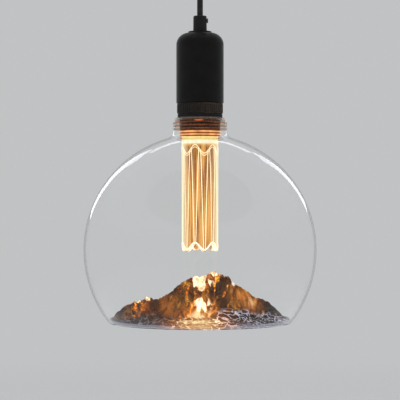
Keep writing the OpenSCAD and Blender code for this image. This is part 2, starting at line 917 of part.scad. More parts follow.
module glass_globe() {
    ring_gap = neck_h / (neck_rings + 2);
    outer_top = arc([neck_r - neck_round, neck_top - neck_round], neck_round, 90, 0, 6);
    inner_top = arc(
        [neck_r - neck_round, neck_top - neck_round], neck_round - glass_wall, 0, 90, 6
    );
    rings = [
        for (i = [1 : neck_rings], side = [1, 0, -1])
            [
                neck_r + (side == 0 ? neck_ring_out : 0),
                neck_top - neck_round - (i - 0.5) * ring_gap + side * 0.35 * ring_gap
            ]
    ];
    flare = arc([flare_x, flare_z], flare_r, 180, 180 + flare_angle, 8);
    flare_in = arc([flare_x, flare_z], flare_r + glass_wall, 180 + flare_angle, 180, 8);
    low_angle = -asin(base_drop / globe_r);
    low_in_angle = -asin((base_drop - glass_wall) / globe_in_r);
    ball = arc([0, globe_z], globe_r, flare_angle, low_angle, 44);
    ball_in = arc([0, globe_z], globe_in_r, low_in_angle, flare_angle, 44);
    function but_first(list) = [for (i = [1 : len(list) - 1]) list[i]];
    color("lightsteelblue", 0.35) at_bulb() rotate_extrude() polygon(concat(
        [[lip_in_r, neck_top]],
        outer_top,
        rings,
        flare,
        but_first(ball),
        [[base_r - base_rim_w, base_z], [base_r - base_rim_w, rim_top_z]],
        ball_in,
        but_first(flare_in),
        inner_top,
        [[lip_in_r, neck_top - glass_wall]]
    ));
}

// Triangle wave from -1 to 1
function zigzag(u) = 4 * abs(u - floor(u) - 0.5) - 1;

// Height of the mountain over a point of the base, without its rim
function mountain(x, y) =
    let (
        away = y - relief_r * lookup(x / relief_r, CREST_LINE),
        flank = away < 0 ? front_slope : back_slope,
        reach = min(1, abs(away) / spur_start),
        spur = spur_h * reach * zigzag((x - spur_shift) / spur_pitch + abs(away) / spur_run)
    )
    peak_h * lookup(x / relief_r, CREST) - relief_t - flank * abs(away) + spur - spur_h * reach;

// Height of the relief, which is flat along its rim
function relief(x, y) =
    let (r = norm([x, y]))
    max(0, min(mountain(x, y), (relief_r - relief_flat_w - r) * rim_slope));

module mountain_base() {
    n = relief_sides;
    rings = relief_rings;
    spots = concat([[0, 0]], [
        for (i = [1 : rings], k = [0 : n - 1])
            let (r = relief_r * i / rings, a = 360 * k / n)
            [r * cos(a), r * sin(a)]
    ]);
    count = len(spots);
    upper = [for (p = spots) [p[0], p[1], rim_top_z + relief_t + relief(p[0], p[1])]];
    lower = [for (p = spots) [p[0], p[1], rim_top_z + relief(p[0], p[1])]];
    function at(i, k) = i == 0 ? 0 : 1 + (i - 1) * n + k % n;
    top_faces = concat(
        [for (k = [0 : n - 1]) [0, at(1, k + 1), at(1, k)]],
        [
            for (i = [1 : rings - 1], k = [0 : n - 1])
                for (face = [
                    [at(i, k), at(i, k + 1), at(i + 1, k + 1)],
                    [at(i, k), at(i + 1, k + 1), at(i + 1, k)]
                ]) face
        ]
    );
    bottom_faces = [for (f = top_faces) [count + f[2], count + f[1], count + f[0]]];
    edge_faces = [
        for (k = [0 : n - 1])
            for (face = [
                [at(rings, k), at(rings, k + 1), count + at(rings, k + 1)],
                [at(rings, k), count + at(rings, k + 1), count + at(rings, k)]
            ]) face
    ];
    color("goldenrod") at_bulb()
        polyhedron(concat(upper, lower), concat(top_faces, bottom_faces, edge_faces));
}

ceiling_plate();
ceiling_cup();
cup_screws();
cup_cord_grip();
cup_grip_nut();
terminal_block();
block_screws();
cup_wires();
cord();
cord_grip();
grip_screws();
grip_nut();
holder_shell();
holder_insert();
thread_sleeve();
centre_contact();
side_contact();
terminal_screws();
wire_live();
wire_neutral();
knurled_ring();
seal_ring();
screw_cap();
cap_insulator();
cap_contact();
driver_housing();
driver_board();
driver_capacitor();
driver_coil();
driver_chips();
fuse_resistor();
lead_neutral();
board_leads();
heat_sink();
led_board();
led_chips();
ring_collar();
guide_gasket();
light_guide();
neck_cement();
glass_globe();
mountain_base();
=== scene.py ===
"""Looks of a globe LED bulb that hangs, lit, in its pendant lampholder.

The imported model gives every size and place. Each sub-assembly below is a class
that builds its visible pieces in metres around that model and gives every piece
and every carried-over node its finish.
"""

from __future__ import annotations

import logging
import math
from dataclasses import dataclass, field
from enum import Enum
from typing import Callable, Iterable, Mapping, Sequence

import bmesh
import bpy
import numpy as np
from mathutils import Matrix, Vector, geometry, noise

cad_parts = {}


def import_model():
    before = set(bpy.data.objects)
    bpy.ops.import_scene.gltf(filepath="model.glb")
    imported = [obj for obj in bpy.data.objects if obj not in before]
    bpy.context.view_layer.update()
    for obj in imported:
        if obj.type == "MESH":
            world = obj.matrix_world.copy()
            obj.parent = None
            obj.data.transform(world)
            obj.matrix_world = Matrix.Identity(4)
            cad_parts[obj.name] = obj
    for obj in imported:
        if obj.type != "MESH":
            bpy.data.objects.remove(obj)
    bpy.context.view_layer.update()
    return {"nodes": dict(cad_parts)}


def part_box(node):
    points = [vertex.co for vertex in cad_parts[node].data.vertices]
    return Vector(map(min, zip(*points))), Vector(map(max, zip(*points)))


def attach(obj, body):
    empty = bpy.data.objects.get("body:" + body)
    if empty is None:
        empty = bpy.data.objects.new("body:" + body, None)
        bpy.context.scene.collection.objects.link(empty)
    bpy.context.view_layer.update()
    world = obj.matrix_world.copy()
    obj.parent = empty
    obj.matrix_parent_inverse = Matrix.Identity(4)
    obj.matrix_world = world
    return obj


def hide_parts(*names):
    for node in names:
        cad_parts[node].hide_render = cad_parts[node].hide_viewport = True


LOG = logging.getLogger("globe_bulb")
MM = 0.001
SAME_POINT = 1e-7

Colour = tuple[float, float, float]
Corner = tuple[float, float, float]
Place = tuple[float, float, float]
Outline = Sequence[tuple[float, float]]
Shape = Callable[[float, float, float], float]
Socket = bpy.types.NodeSocket


class Body(Enum):
    """The rigid bodies that pieces ride on."""

    HOLDER = "lampholder"
    SEAL = "seal"
    BULB = "bulb"


class Effect(Enum):
    """Surface effects that several finishes share, each built once as a node group."""

    MOTTLE = "mottled_surface"
    EDGE_WEAR = "worn_edges"
    DUST = "settled_dust"


# Frame


@dataclass(frozen=True)
class Extent:
    """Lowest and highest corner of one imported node, in metres."""

    low: Vector
    high: Vector

    @classmethod
    def of(cls, node: str) -> "Extent":
        """Reads a node's box.

        Args:
            node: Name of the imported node.

        Returns:
            Its extent at rest.
        """
        low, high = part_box(node)
        return cls(low, high)

    @property
    def radius(self) -> float:
        """Half of the width across."""
        return (self.high.x - self.low.x) / 2

    @property
    def top(self) -> float:
        """Height of the highest point."""
        return self.high.z

    @property
    def bottom(self) -> float:
        """Height of the lowest point."""
        return self.low.z


# Meshes


def mesh_piece(
    name: str, points: Sequence[Sequence[float]], faces: Sequence[Sequence[int]], smooth: bool = True
) -> bpy.types.Object:
    """Makes a mesh object with outward faces.

    Args:
        name: Name of the piece.
        points: Its corners, in metres.
        faces: Its faces, as indices of corners.
        smooth: True for smooth shading.

    Returns:
        The new object, linked to the scene.
    """
    mesh = bpy.data.meshes.new(name)
    mesh.from_pydata([tuple(map(float, p)) for p in points], [], [tuple(map(int, f)) for f in faces])
    work = bmesh.new()
    work.from_mesh(mesh)
    bmesh.ops.remove_doubles(work, verts=work.verts, dist=SAME_POINT)
    bmesh.ops.recalc_face_normals(work, faces=work.faces)
    work.to_mesh(mesh)
    work.free()
    mesh.polygons.foreach_set("use_smooth", [smooth] * len(mesh.polygons))
    piece = bpy.data.objects.new(name, mesh)
    bpy.context.scene.collection.objects.link(piece)
    return piece


def rounded(corners: Iterable[Corner], steps: int = 4) -> list[tuple[float, float]]:
    """Rounds the corners of a closed outline.

    Args:
        corners: Each corner's radius from the axis, height and rounding.
        steps: How many pieces each rounding gets.

    Returns:
        The outline's points, as radius and height.
    """
    corners = list(corners)
    most = 0.48  # of a side, so that the roundings at its two ends never meet
    outline: list[tuple[float, float]] = []
    for i, (r, z, rounding) in enumerate(corners):
        if rounding <= 0:
            outline.append((r, z))
            continue
        here = np.array([r, z])
        before = np.array(corners[i - 1][:2]) - here
        after = np.array(corners[(i + 1) % len(corners)][:2]) - here
        reach = min(rounding, most * np.linalg.norm(before), most * np.linalg.norm(after))
        start = here + before / np.linalg.norm(before) * reach
        end = here + after / np.linalg.norm(after) * reach
        for k in range(steps + 1):
            t = k / steps
            spot = (1 - t) ** 2 * start + 2 * t * (1 - t) * here + t**2 * end
            outline.append((float(spot[0]), float(spot[1])))
    return outline


def arc(centre: tuple[float, float], radius: float, start: float, end: float, steps: int) -> list:
    """Points of an arc in the outline's plane, with its angles in degrees."""
    angles = np.radians(np.linspace(start, end, steps + 1))
    return [(centre[0] + radius * math.cos(a), centre[1] + radius * math.sin(a)) for a in angles]


def turned_data(outline: Outline, steps: int, shape: Shape | None = None) -> tuple[list, list]:
    """Turns a closed outline about the Z axis.

    Args:
        outline: Points as radius and height.
        steps: How many steps the turn has.
        shape: Gives a new radius from an angle, a radius and a height.

    Returns:
        The points and the faces.
    """
    count = len(outline)
    points = []
    for i in range(steps):
        angle = 2 * math.pi * i / steps
        for r, z in outline:
            radius = shape(angle, r, z) if shape else r
            points.append((radius * math.cos(angle), radius * math.sin(angle), z))
    faces = [
        (i * count + k, (i + 1) % steps * count + k, (i + 1) % steps * count + (k + 1) % count,
         i * count + (k + 1) % count)
        for i in range(steps)
        for k in range(count)
    ]
    return points, faces


def turned(name: str, outline: Outline, steps: int = 96, shape: Shape | None = None) -> bpy.types.Object:
    """Makes a piece by turning a closed outline about the Z axis.

    Args:
        name: Name of the piece.
        outline: Points as radius and height.
        steps: How many steps the turn has.
        shape: Gives a new radius from an angle, a radius and a height.

    Returns:
        The new object.
    """
    points, faces = turned_data(outline, steps, shape)
    piece = mesh_piece(name, points, faces)
    crisp(piece)
    return piece


def crisp(piece: bpy.types.Object, degrees: float = 34.0) -> None:
    """Keeps smooth shading, but marks edges sharper than an angle as sharp.

    Args:
        piece: The mesh object.
        degrees: The angle between two faces from which their edge is sharp.
    """
    limit = math.radians(degrees)
    work = bmesh.new()
    work.from_mesh(piece.data)
    for edge in work.edges:
        edge.smooth = not (len(edge.link_faces) == 2 and edge.calc_face_angle(0) > limit)
    work.to_mesh(piece.data)
    work.free()


def swept_data(
    route: np.ndarray, radius: float, sides: int, side: np.ndarray, closed: bool = False
) -> tuple[list, list]:
    """Sweeps a round tube along a route.

    Args:
        route: The points that it follows.
        radius: The tube's radius.
        sides: How many sides it has.
        side: One direction for each point, none of them along the route.
        closed: True if the route's end joins its start.

    Returns:
        The points and the faces.
    """
    count = len(route)
    if closed:
        ahead = np.roll(route, -1, 0) - np.roll(route, 1, 0)
    else:
        ahead = np.gradient(route, axis=0)
    ahead /= np.linalg.norm(ahead, axis=1)[:, None]
    across = np.cross(ahead, side)
    across /= np.linalg.norm(across, axis=1)[:, None]
    up = np.cross(across, ahead)
    angles = 2 * math.pi * np.arange(sides) / sides
    points = (
        route[:, None, :]
        + radius * np.cos(angles)[None, :, None] * across[:, None, :]
        + radius * np.sin(angles)[None, :, None] * up[:, None, :]
    ).reshape(-1, 3)
    faces = [
        (i * sides + k, (i + 1) % count * sides + k, (i + 1) % count * sides + (k + 1) % sides,
         i * sides + (k + 1) % sides)
        for i in range(count if closed else count - 1)
        for k in range(sides)
    ]
    if not closed:
        faces.append(tuple(range(sides - 1, -1, -1)))
        faces.append(tuple((count - 1) * sides + k for k in range(sides)))
    return points.tolist(), faces


def joined(parts: Iterable[tuple[list, list]]) -> tuple[list, list]:
    """Puts several parts into one.

    Args:
        parts: Each part's points and faces.

    Returns:
        The points and the faces of all of them.
    """
    points: list = []
    faces: list = []
    for some, polygons in parts:
        start = len(points)
        points.extend(some)
        faces.extend([tuple(start + i for i in f) for f in polygons])
    return points, faces


def box_data(low: Sequence[float], high: Sequence[float]) -> tuple[list, list]:
    """Makes a plain box between two corners.

    Args:
        low: Its lowest corner.
        high: Its highest corner.

    Returns:
        The points and the faces.
    """
    points = [(x, y, z) for x in (low[0], high[0]) for y in (low[1], high[1]) for z in (low[2], high[2])]
    faces = [(0, 1, 3, 2), (4, 6, 7, 5), (0, 4, 5, 1), (2, 3, 7, 6), (0, 2, 6, 4), (1, 5, 7, 3)]
    return points, faces


def slotted(piece: bpy.types.Object, low: Sequence[float], high: Sequence[float]) -> None:
    """Cuts a box out of a piece, such as a screw's slot.

    Args:
        piece: The piece that is cut.
        low: The box's lowest corner.
        high: The box's highest corner.
    """
    cutter = mesh_piece("cutter", *box_data(low, high))
    cut = piece.modifiers.new("slot", "BOOLEAN")
    cut.operation = "DIFFERENCE"
    cut.solver = "EXACT"
    cut.object = cutter
    shape = bpy.data.meshes.new_from_object(piece.evaluated_get(bpy.context.evaluated_depsgraph_get()))
    piece.modifiers.clear()
    piece.data = shape
    bpy.data.objects.remove(cutter)
    crisp(piece)


# Shader nodes


@dataclass
class Graph:
    """A node tree with short calls that add nodes and join them."""

    tree: bpy.types.NodeTree

    def add(self, kind: str, sockets: Mapping | None = None, **settings: object) -> bpy.types.Node:
        """Adds a node.

        Args:
            kind: Blender's name of the node's type.
            sockets: Inputs by name or number, each a value or another node's output.
            settings: The node's own settings.

        Returns:
            The new node.
        """
        node = self.tree.nodes.new(kind)
        for name, value in settings.items():
            setattr(node, name, value)
        for key, value in (sockets or {}).items():
            self.feed(node.inputs[key], value)
        return node

    def feed(self, socket: Socket, value: object) -> None:
        """Sets an input, or joins it to an output.

        Args:
            socket: The input.
            value: A number, a colour, a vector or another node's output.
        """
        if isinstance(value, Socket):
            self.tree.links.new(value, socket)
        elif socket.type == "RGBA" and len(value) == 3:
            socket.default_value = (*value, 1.0)
        else:
            socket.default_value = value

    def spot(self) -> Socket:
        """The piece's own coordinates."""
        return self.add("ShaderNodeTexCoord").outputs["Object"]

    def mix(self, share: object, first: object, second: object) -> Socket:
        """A colour between two others, by the share that the second one has."""
        node = self.add("ShaderNodeMix", {0: share, 6: first, 7: second}, data_type="RGBA")
        return node.outputs[2]

    def sum(self, operation: str, first: object, second: object = 0.0, clamp: bool = False) -> Socket:
        """The result of one of the math node's operations."""
        node = self.add("ShaderNodeMath", {0: first, 1: second}, operation=operation, use_clamp=clamp)
        return node.outputs[0]

    def vector(self, operation: str, first: object, second: object) -> Socket:
        """The vector that comes out of one of the vector math node's operations on two vectors."""
        return self.add("ShaderNodeVectorMath", {0: first, 1: second}, operation=operation).outputs[0]

    def length(self, vector: object) -> Socket:
        """The length of a vector."""
        return self.add("ShaderNodeVectorMath", {0: vector}, operation="LENGTH").outputs["Value"]

    def between(
        self, value: object, low: float, high: float, start: object = 0.0, end: object = 1.0
    ) -> Socket:
        """Maps a value's range smoothly to another one, held at its ends."""
        sockets = {"Value": value, "From Min": low, "From Max": high, "To Min": start, "To Max": end}
        return self.add("ShaderNodeMapRange", sockets, interpolation_type="SMOOTHSTEP").outputs[0]

    def grain(self, scale: object, detail: float = 3.0, spot: object | None = None) -> Socket:
        """A soft noise.

        Args:
            scale: How fine it is.
            detail: How many finer layers it has.
            spot: Where it is read, by default at the piece's own coordinates.

        Returns:
            The noise's value, mostly between 0.3 and 0.7.
        """
        spot = spot or self.spot()
        noise_node = self.add("ShaderNodeTexNoise", {"Vector": spot, "Scale": scale, "Detail": detail})
        return noise_node.outputs["Fac"]

    def effect(self, kind: Effect, sockets: Mapping) -> bpy.types.Node:
        """Places a shared effect.

        Args:
            kind: Which effect.
            sockets: The group's inputs by name.

        Returns:
            The placed group.
        """
        group = self.add("ShaderNodeGroup", node_tree=effect_group(kind))
        for name, value in sockets.items():
            self.feed(group.inputs[name], value)
        return group


def group_shell(
    name: str, inputs: Sequence[tuple[str, str, object]], outputs: Sequence[tuple[str, str]]
) -> tuple[Graph, bpy.types.Node, bpy.types.Node]:
    """Makes an empty node group.

    Args:
        name: Name of the group.
        inputs: Each input's name, kind of socket and usual value.
        outputs: Each output's name and kind of socket.

    Returns:
        The group's graph, its input node and its output node.
    """
    tree = bpy.data.node_groups.new(name, "ShaderNodeTree")
    for label, kind, value in inputs:
        socket = tree.interface.new_socket(label, in_out="INPUT", socket_type=kind)
        socket.default_value = (*value, 1.0) if kind == "NodeSocketColor" else value
    for label, kind in outputs:
        tree.interface.new_socket(label, in_out="OUTPUT", socket_type=kind)
    return Graph(tree), tree.nodes.new("NodeGroupInput"), tree.nodes.new("NodeGroupOutput")


def mottle_group() -> bpy.types.NodeTree:
    """Two tones in soft patches, with a roughness and a height that follow them.

    Returns:
        The group's node tree.
    """
    graph, given, result = group_shell(
        Effect.MOTTLE.value,
        [
            ("Tone", "NodeSocketColor", (0.5, 0.5, 0.5)),
            ("Second Tone", "NodeSocketColor", (0.4, 0.4, 0.4)),
            ("Scale", "NodeSocketFloat", 200.0),
            ("Smooth", "NodeSocketFloat", 0.3),
            ("Rough", "NodeSocketFloat", 0.5),
        ],
        [("Colour", "NodeSocketColor"), ("Roughness", "NodeSocketFloat"), ("Height", "NodeSocketFloat")],
    )
    patches = graph.grain(given.outputs["Scale"], 4.0)
    fine = graph.grain(graph.sum("MULTIPLY", given.outputs["Scale"], 9.0), 2.0)
    share = graph.between(patches, 0.35, 0.65)
    graph.feed(result.inputs["Colour"], graph.mix(share, given.outputs["Tone"], given.outputs["Second Tone"]))
    uneven = graph.sum("ADD", graph.sum("MULTIPLY", patches, 0.6), graph.sum("MULTIPLY", fine, 0.4))
    rough = graph.between(uneven, 0.3, 0.7, given.outputs["Smooth"], given.outputs["Rough"])
    graph.feed(result.inputs["Roughness"], rough)
    graph.feed(result.inputs["Height"], fine)
    return graph.tree


def edge_wear_group() -> bpy.types.NodeTree:
    """A paler tone on edges that hands and tools rub.

    Returns:
        The group's node tree.
    """
    graph, given, result = group_shell(
        Effect.EDGE_WEAR.value,
        [
            ("Colour", "NodeSocketColor", (0.5, 0.5, 0.5)),
            ("Worn", "NodeSocketColor", (0.7, 0.7, 0.7)),
            ("Amount", "NodeSocketFloat", 0.5),
            ("Width", "NodeSocketFloat", 0.0004),
        ],
        [("Colour", "NodeSocketColor"), ("Mask", "NodeSocketFloat")],
    )
    soft = graph.add("ShaderNodeBevel", {"Radius": given.outputs["Width"]}, samples=4).outputs[0]
    flat = graph.add("ShaderNodeNewGeometry").outputs["Normal"]
    same = graph.add("ShaderNodeVectorMath", {0: soft, 1: flat}, operation="DOT_PRODUCT").outputs["Value"]
    rubbed = graph.between(graph.grain(420.0, 4.0), 0.38, 0.62)
    edge = graph.between(same, 0.995, 0.9)
    mask = graph.sum("MULTIPLY", graph.sum("MULTIPLY", edge, rubbed), given.outputs["Amount"], True)
    graph.feed(result.inputs["Colour"], graph.mix(mask, given.outputs["Colour"], given.outputs["Worn"]))
    graph.feed(result.inputs["Mask"], mask)
    return graph.tree


def dust_group() -> bpy.types.NodeTree:
    """A thin film of dust on faces that look up.

    Returns:
        The group's node tree.
    """
    graph, given, result = group_shell(
        Effect.DUST.value,
        [
            ("Colour", "NodeSocketColor", (0.5, 0.5, 0.5)),
            ("Dust", "NodeSocketColor", (0.5, 0.48, 0.45)),
            ("Amount", "NodeSocketFloat", 0.3),
        ],
        [("Colour", "NodeSocketColor"), ("Mask", "NodeSocketFloat")],
    )
    normal = graph.add("ShaderNodeNewGeometry").outputs["Normal"]
    up = graph.add("ShaderNodeSeparateXYZ", {0: normal}).outputs["Z"]
    level = graph.between(up, 0.2, 1.0)
    film = graph.sum("MULTIPLY", level, graph.between(graph.grain(260.0, 5.0), 0.3, 0.7))
    mask = graph.sum("MULTIPLY", film, given.outputs["Amount"], True)
    graph.feed(result.inputs["Colour"], graph.mix(mask, given.outputs["Colour"], given.outputs["Dust"]))
    graph.feed(result.inputs["Mask"], mask)
    return graph.tree


GROUP_MAKERS = {Effect.MOTTLE: mottle_group, Effect.EDGE_WEAR: edge_wear_group, Effect.DUST: dust_group}


def effect_group(kind: Effect) -> bpy.types.NodeTree:
    """The node group of a shared effect, built the first time it is asked for."""
    return bpy.data.node_groups.get(kind.value) or GROUP_MAKERS[kind]()


def blank_material(name: str) -> tuple[bpy.types.Material, Graph, bpy.types.Node]:
    """Makes an empty material.

    Args:
        name: Name of the material.

    Returns:
        The material, its graph and its output node.
    """
    material = bpy.data.materials.new(name)
    material.use_nodes = True
    material.node_tree.nodes.clear()
    graph = Graph(material.node_tree)
    return material, graph, graph.add("ShaderNodeOutputMaterial")


# Finishes


@dataclass(frozen=True)
class Finish:
    """A solid finish: two tones in patches, uneven gloss, fine grain, worn edges and dust."""

    slot: str
    tone: Colour
    second: Colour
    scale: float = 200.0
    smooth: float = 0.3
    rough: float = 0.5
    metallic: float = 0.0
    specular: float = 0.5
    coat: float = 0.0
    coat_rough: float = 0.12
    grain: float = 0.02 * MM
    worn: Colour = (0.5, 0.5, 0.5)
    wear: float = 0.0
    dust: float = 0.0

    def build(self) -> bpy.types.Material:
        """Builds the material.

        Returns:
            The new material.
        """
        material, graph, output = blank_material(self.slot)
        base = graph.effect(
            Effect.MOTTLE,
            {"Tone": self.tone, "Second Tone": self.second, "Scale": self.scale, "Smooth": self.smooth,
             "Rough": self.rough},
        )
        colour = base.outputs["Colour"]
        if self.wear:
            colour = graph.effect(
                Effect.EDGE_WEAR, {"Colour": colour, "Worn": self.worn, "Amount": self.wear}
            ).outputs["Colour"]
        if self.dust:
            colour = graph.effect(Effect.DUST, {"Colour": colour, "Amount": self.dust}).outputs["Colour"]
        bump = graph.add("ShaderNodeBump", {"Height": base.outputs["Height"], "Distance": self.grain})
        shader = graph.add("ShaderNodeBsdfPrincipled", {
            "Base Color": colour,
            "Roughness": base.outputs["Roughness"],
            "Metallic": self.metallic,
            "Specular IOR Level": self.specular,
            "Coat Weight": self.coat,
            "Coat Roughness": self.coat_rough,
            "Normal": bump.outputs[0],
        })
        graph.feed(output.inputs["Surface"], shader.outputs[0])
        return material


@dataclass(frozen=True)
class BraidFinish:
    """Black textile braid round a straight cord, with its strands crossing in two helices."""

    slot: str = "cord_textile"
    tone: Colour = (0.007, 0.0066, 0.0065)
    thread: Colour = (0.028, 0.027, 0.026)
    strands: int = 12
    pitch: float = 9.0 * MM
    relief: float = 0.28 * MM

    def build(self) -> bpy.types.Material:
        """Builds the material.

        Returns:
            The new material.
        """
        material, graph, output = blank_material(self.slot)
        place = graph.add("ShaderNodeSeparateXYZ", {0: graph.spot()}).outputs
        angle = graph.sum("ARCTAN2", place["Y"], place["X"])
        turn = graph.sum("MULTIPLY", angle, self.strands / (2 * math.pi))
        climb = graph.sum("MULTIPLY", place["Z"], self.strands / self.pitch)
        right = graph.sum("ADD", turn, climb)
        left = graph.sum("SUBTRACT", turn, climb)

        def strand(phase: Socket) -> Socket:
            """Rounded height across one strand."""
            across = graph.sum("PINGPONG", phase, 0.5)
            return graph.sum("POWER", graph.sum("SINE", graph.sum("MULTIPLY", across, math.pi)), 0.5)

        over = graph.sum("FLOORED_MODULO", graph.sum("FLOOR", graph.sum("ADD", right, left)), 2.0)
        strands = {0: over, 2: strand(right), 3: strand(left)}
        height = graph.add("ShaderNodeMix", strands, data_type="FLOAT").outputs[0]
        fibre = graph.grain(5200.0, 2.0)
        # paler on the crown of each strand and darker where the strands dip: painted shade between the
        # strands
        share = graph.sum("MULTIPLY", height, graph.between(fibre, 0.3, 0.7))
        bump = graph.add("ShaderNodeBump", {"Height": height, "Distance": self.relief})
        shader = graph.add("ShaderNodeBsdfPrincipled", {
            "Base Color": graph.mix(share, self.tone, self.thread),
            "Roughness": graph.between(fibre, 0.2, 0.8, 0.62, 0.85),
            "Specular IOR Level": 0.25,
            "Sheen Weight": 0.12,
            "Sheen Roughness": 0.4,
            "Normal": bump.outputs[0],
        })
        graph.feed(output.inputs["Surface"], shader.outputs[0])
        return material


@dataclass(frozen=True)
class GlassFinish:
    """Clear blown glass, with painted shade where it is seen along its wall and a painted reflection of the
    copper collar as brown rings in its neck.
    """

    slot: str = "globe_glass"
    tint: Colour = (0.988, 0.993, 0.992)
    # painted shade: the dark tint where the glass is seen edge-on
    edge: Colour = (0.03, 0.034, 0.034)
    # painted reflection of the copper collar, tinted into the neck's rings
    collar_reflection_tint: Colour = (0.66, 0.46, 0.34)
    index: float = 1.25
    ripple: float = 0.05 * MM
    neck_foot: float = 0.0
    ring_pitch: float = 2.8 * MM

    def build(self) -> bpy.types.Material:
        """Builds the material.

        Returns:
            The new material.
        """
        material, graph, output = blank_material(self.slot)
        wave = graph.grain(16.0, 1.5)
        bump = graph.add("ShaderNodeBump", {"Height": wave, "Distance": self.ripple, "Strength": 0.5})
        film = graph.between(graph.grain(60.0, 5.0), 0.45, 0.8, 0.0, 0.035)
        height = graph.add("ShaderNodeSeparateXYZ", {0: graph.spot()}).outputs["Z"]
        # the neck's brown rings are a painted reflection of the collar
        neck = graph.between(height, self.neck_foot - 1.0 * MM, self.neck_foot + 1.5 * MM)
        rings = graph.sum("PINGPONG", graph.sum("DIVIDE", height, self.ring_pitch), 0.5)
        shown = graph.sum("MULTIPLY", neck, graph.between(rings, 0.1, 0.4, 0.15, 1.0))
        grazing = graph.add("ShaderNodeLayerWeight", {"Blend": 0.5}).outputs["Facing"]
        clear_tint = graph.mix(shown, self.tint, self.collar_reflection_tint)
        shader = graph.add("ShaderNodeBsdfPrincipled", {
            # darker where the surface is seen edge-on: painted shade along the silhouette
            "Base Color": graph.mix(graph.between(grazing, 0.84, 0.94), clear_tint, self.edge),
            "Roughness": film,
            "IOR": self.index,
            "Transmission Weight": 1.0,
            "Normal": bump.outputs[0],
        })
        clear = graph.add("ShaderNodeBsdfTransparent", {"Color": (0.97, 0.98, 0.98)})
        light = graph.add("ShaderNodeLightPath").outputs
        passing = graph.sum("MAXIMUM", light["Is Shadow Ray"], light["Is Diffuse Ray"])
        mixed = graph.add("ShaderNodeMixShader", {0: passing, 1: shader.outputs[0], 2: clear.outputs[0]})
        graph.feed(output.inputs["Surface"], mixed.outputs[0])
        return material


@dataclass(frozen=True)
class GlowFinish:
    """A lit surface, with streaks of a second colour along its height."""

    slot: str
    name: str
    tone: Colour
    streak: Colour
    glow: Colour
    second_glow: Colour
    strength: float = 1.0
    alpha: float = 1.0
    across: float = 700.0
    along: float = 30.0
    roughness: float = 0.12
    edge_glow: Colour = (1.0, 0.86, 0.56)
    edge_share: float = 0.0

    def build(self) -> bpy.types.Material:
        """Builds the material.

        Returns:
            The new material.
        """
        material, graph, output = blank_material(self.name)
        drawn = graph.vector("MULTIPLY", graph.spot(), (self.across, self.across, self.along))
        share = graph.between(graph.grain(1.0, 3.0, drawn), 0.35, 0.65)
        glow = graph.mix(share, self.glow, self.second_glow)
        if self.edge_share:
            grazing = graph.add("ShaderNodeLayerWeight", {"Blend": 0.5}).outputs["Facing"]
            glow = graph.mix(graph.between(grazing, 0.2, 0.62, 0.0, self.edge_share), glow, self.edge_glow)
        shader = graph.add("ShaderNodeBsdfPrincipled", {
            "Base Color": graph.mix(share, self.tone, self.streak),
            "Roughness": self.roughness,
            "Alpha": self.alpha,
            "Emission Color": glow,
            "Emission Strength": self.strength,
        })
        graph.feed(output.inputs["Surface"], shader.outputs[0])
        return material


@dataclass(frozen=True)
class TopGlowFinish:
    """Light that fills the top of the tube: yellow under the collar, cream below it, and gone at its foot."""

    slot: str = "guide_acrylic"
    yellow: Colour = (0.8, 0.68, 0.2)
    cream: Colour = (1.0, 0.95, 0.72)
    amber: Colour = (0.85, 0.48, 0.14)
    unlit: Colour = (0.3, 0.24, 0.15)
    drawn: tuple[float, float, float] = (260.0, 260.0, 40.0)
    strength: float = 1.15
    top: float = 1.0
    foot: float = 0.0

    def build(self) -> bpy.types.Material:
        """Builds the material.

        Returns:
            The new material.
        """
        material, graph, output = blank_material("guide_top_glow")
        spot = graph.spot()
        height = graph.add("ShaderNodeSeparateXYZ", {0: spot}).outputs["Z"]
        level = graph.between(height, self.foot, self.top)
        drawn = graph.vector("MULTIPLY", spot, self.drawn)
        streaks = graph.between(graph.grain(1.0, 3.0, drawn), 0.35, 0.65)
        hot = graph.mix(graph.between(level, 0.97, 0.82), self.yellow, self.cream)
        warm = graph.mix(graph.sum("MULTIPLY", streaks, 0.3), hot, self.amber)
        glow = graph.mix(graph.between(level, 0.3, 0.6), self.amber, warm)
        shader = graph.add("ShaderNodeBsdfPrincipled", {
            "Base Color": self.unlit,
            "Roughness": 0.2,
            "Alpha": graph.between(level, 0.0, 0.7),
            "Emission Color": glow,
            "Emission Strength": self.strength,
        })
        graph.feed(output.inputs["Surface"], shader.outputs[0])
        return material


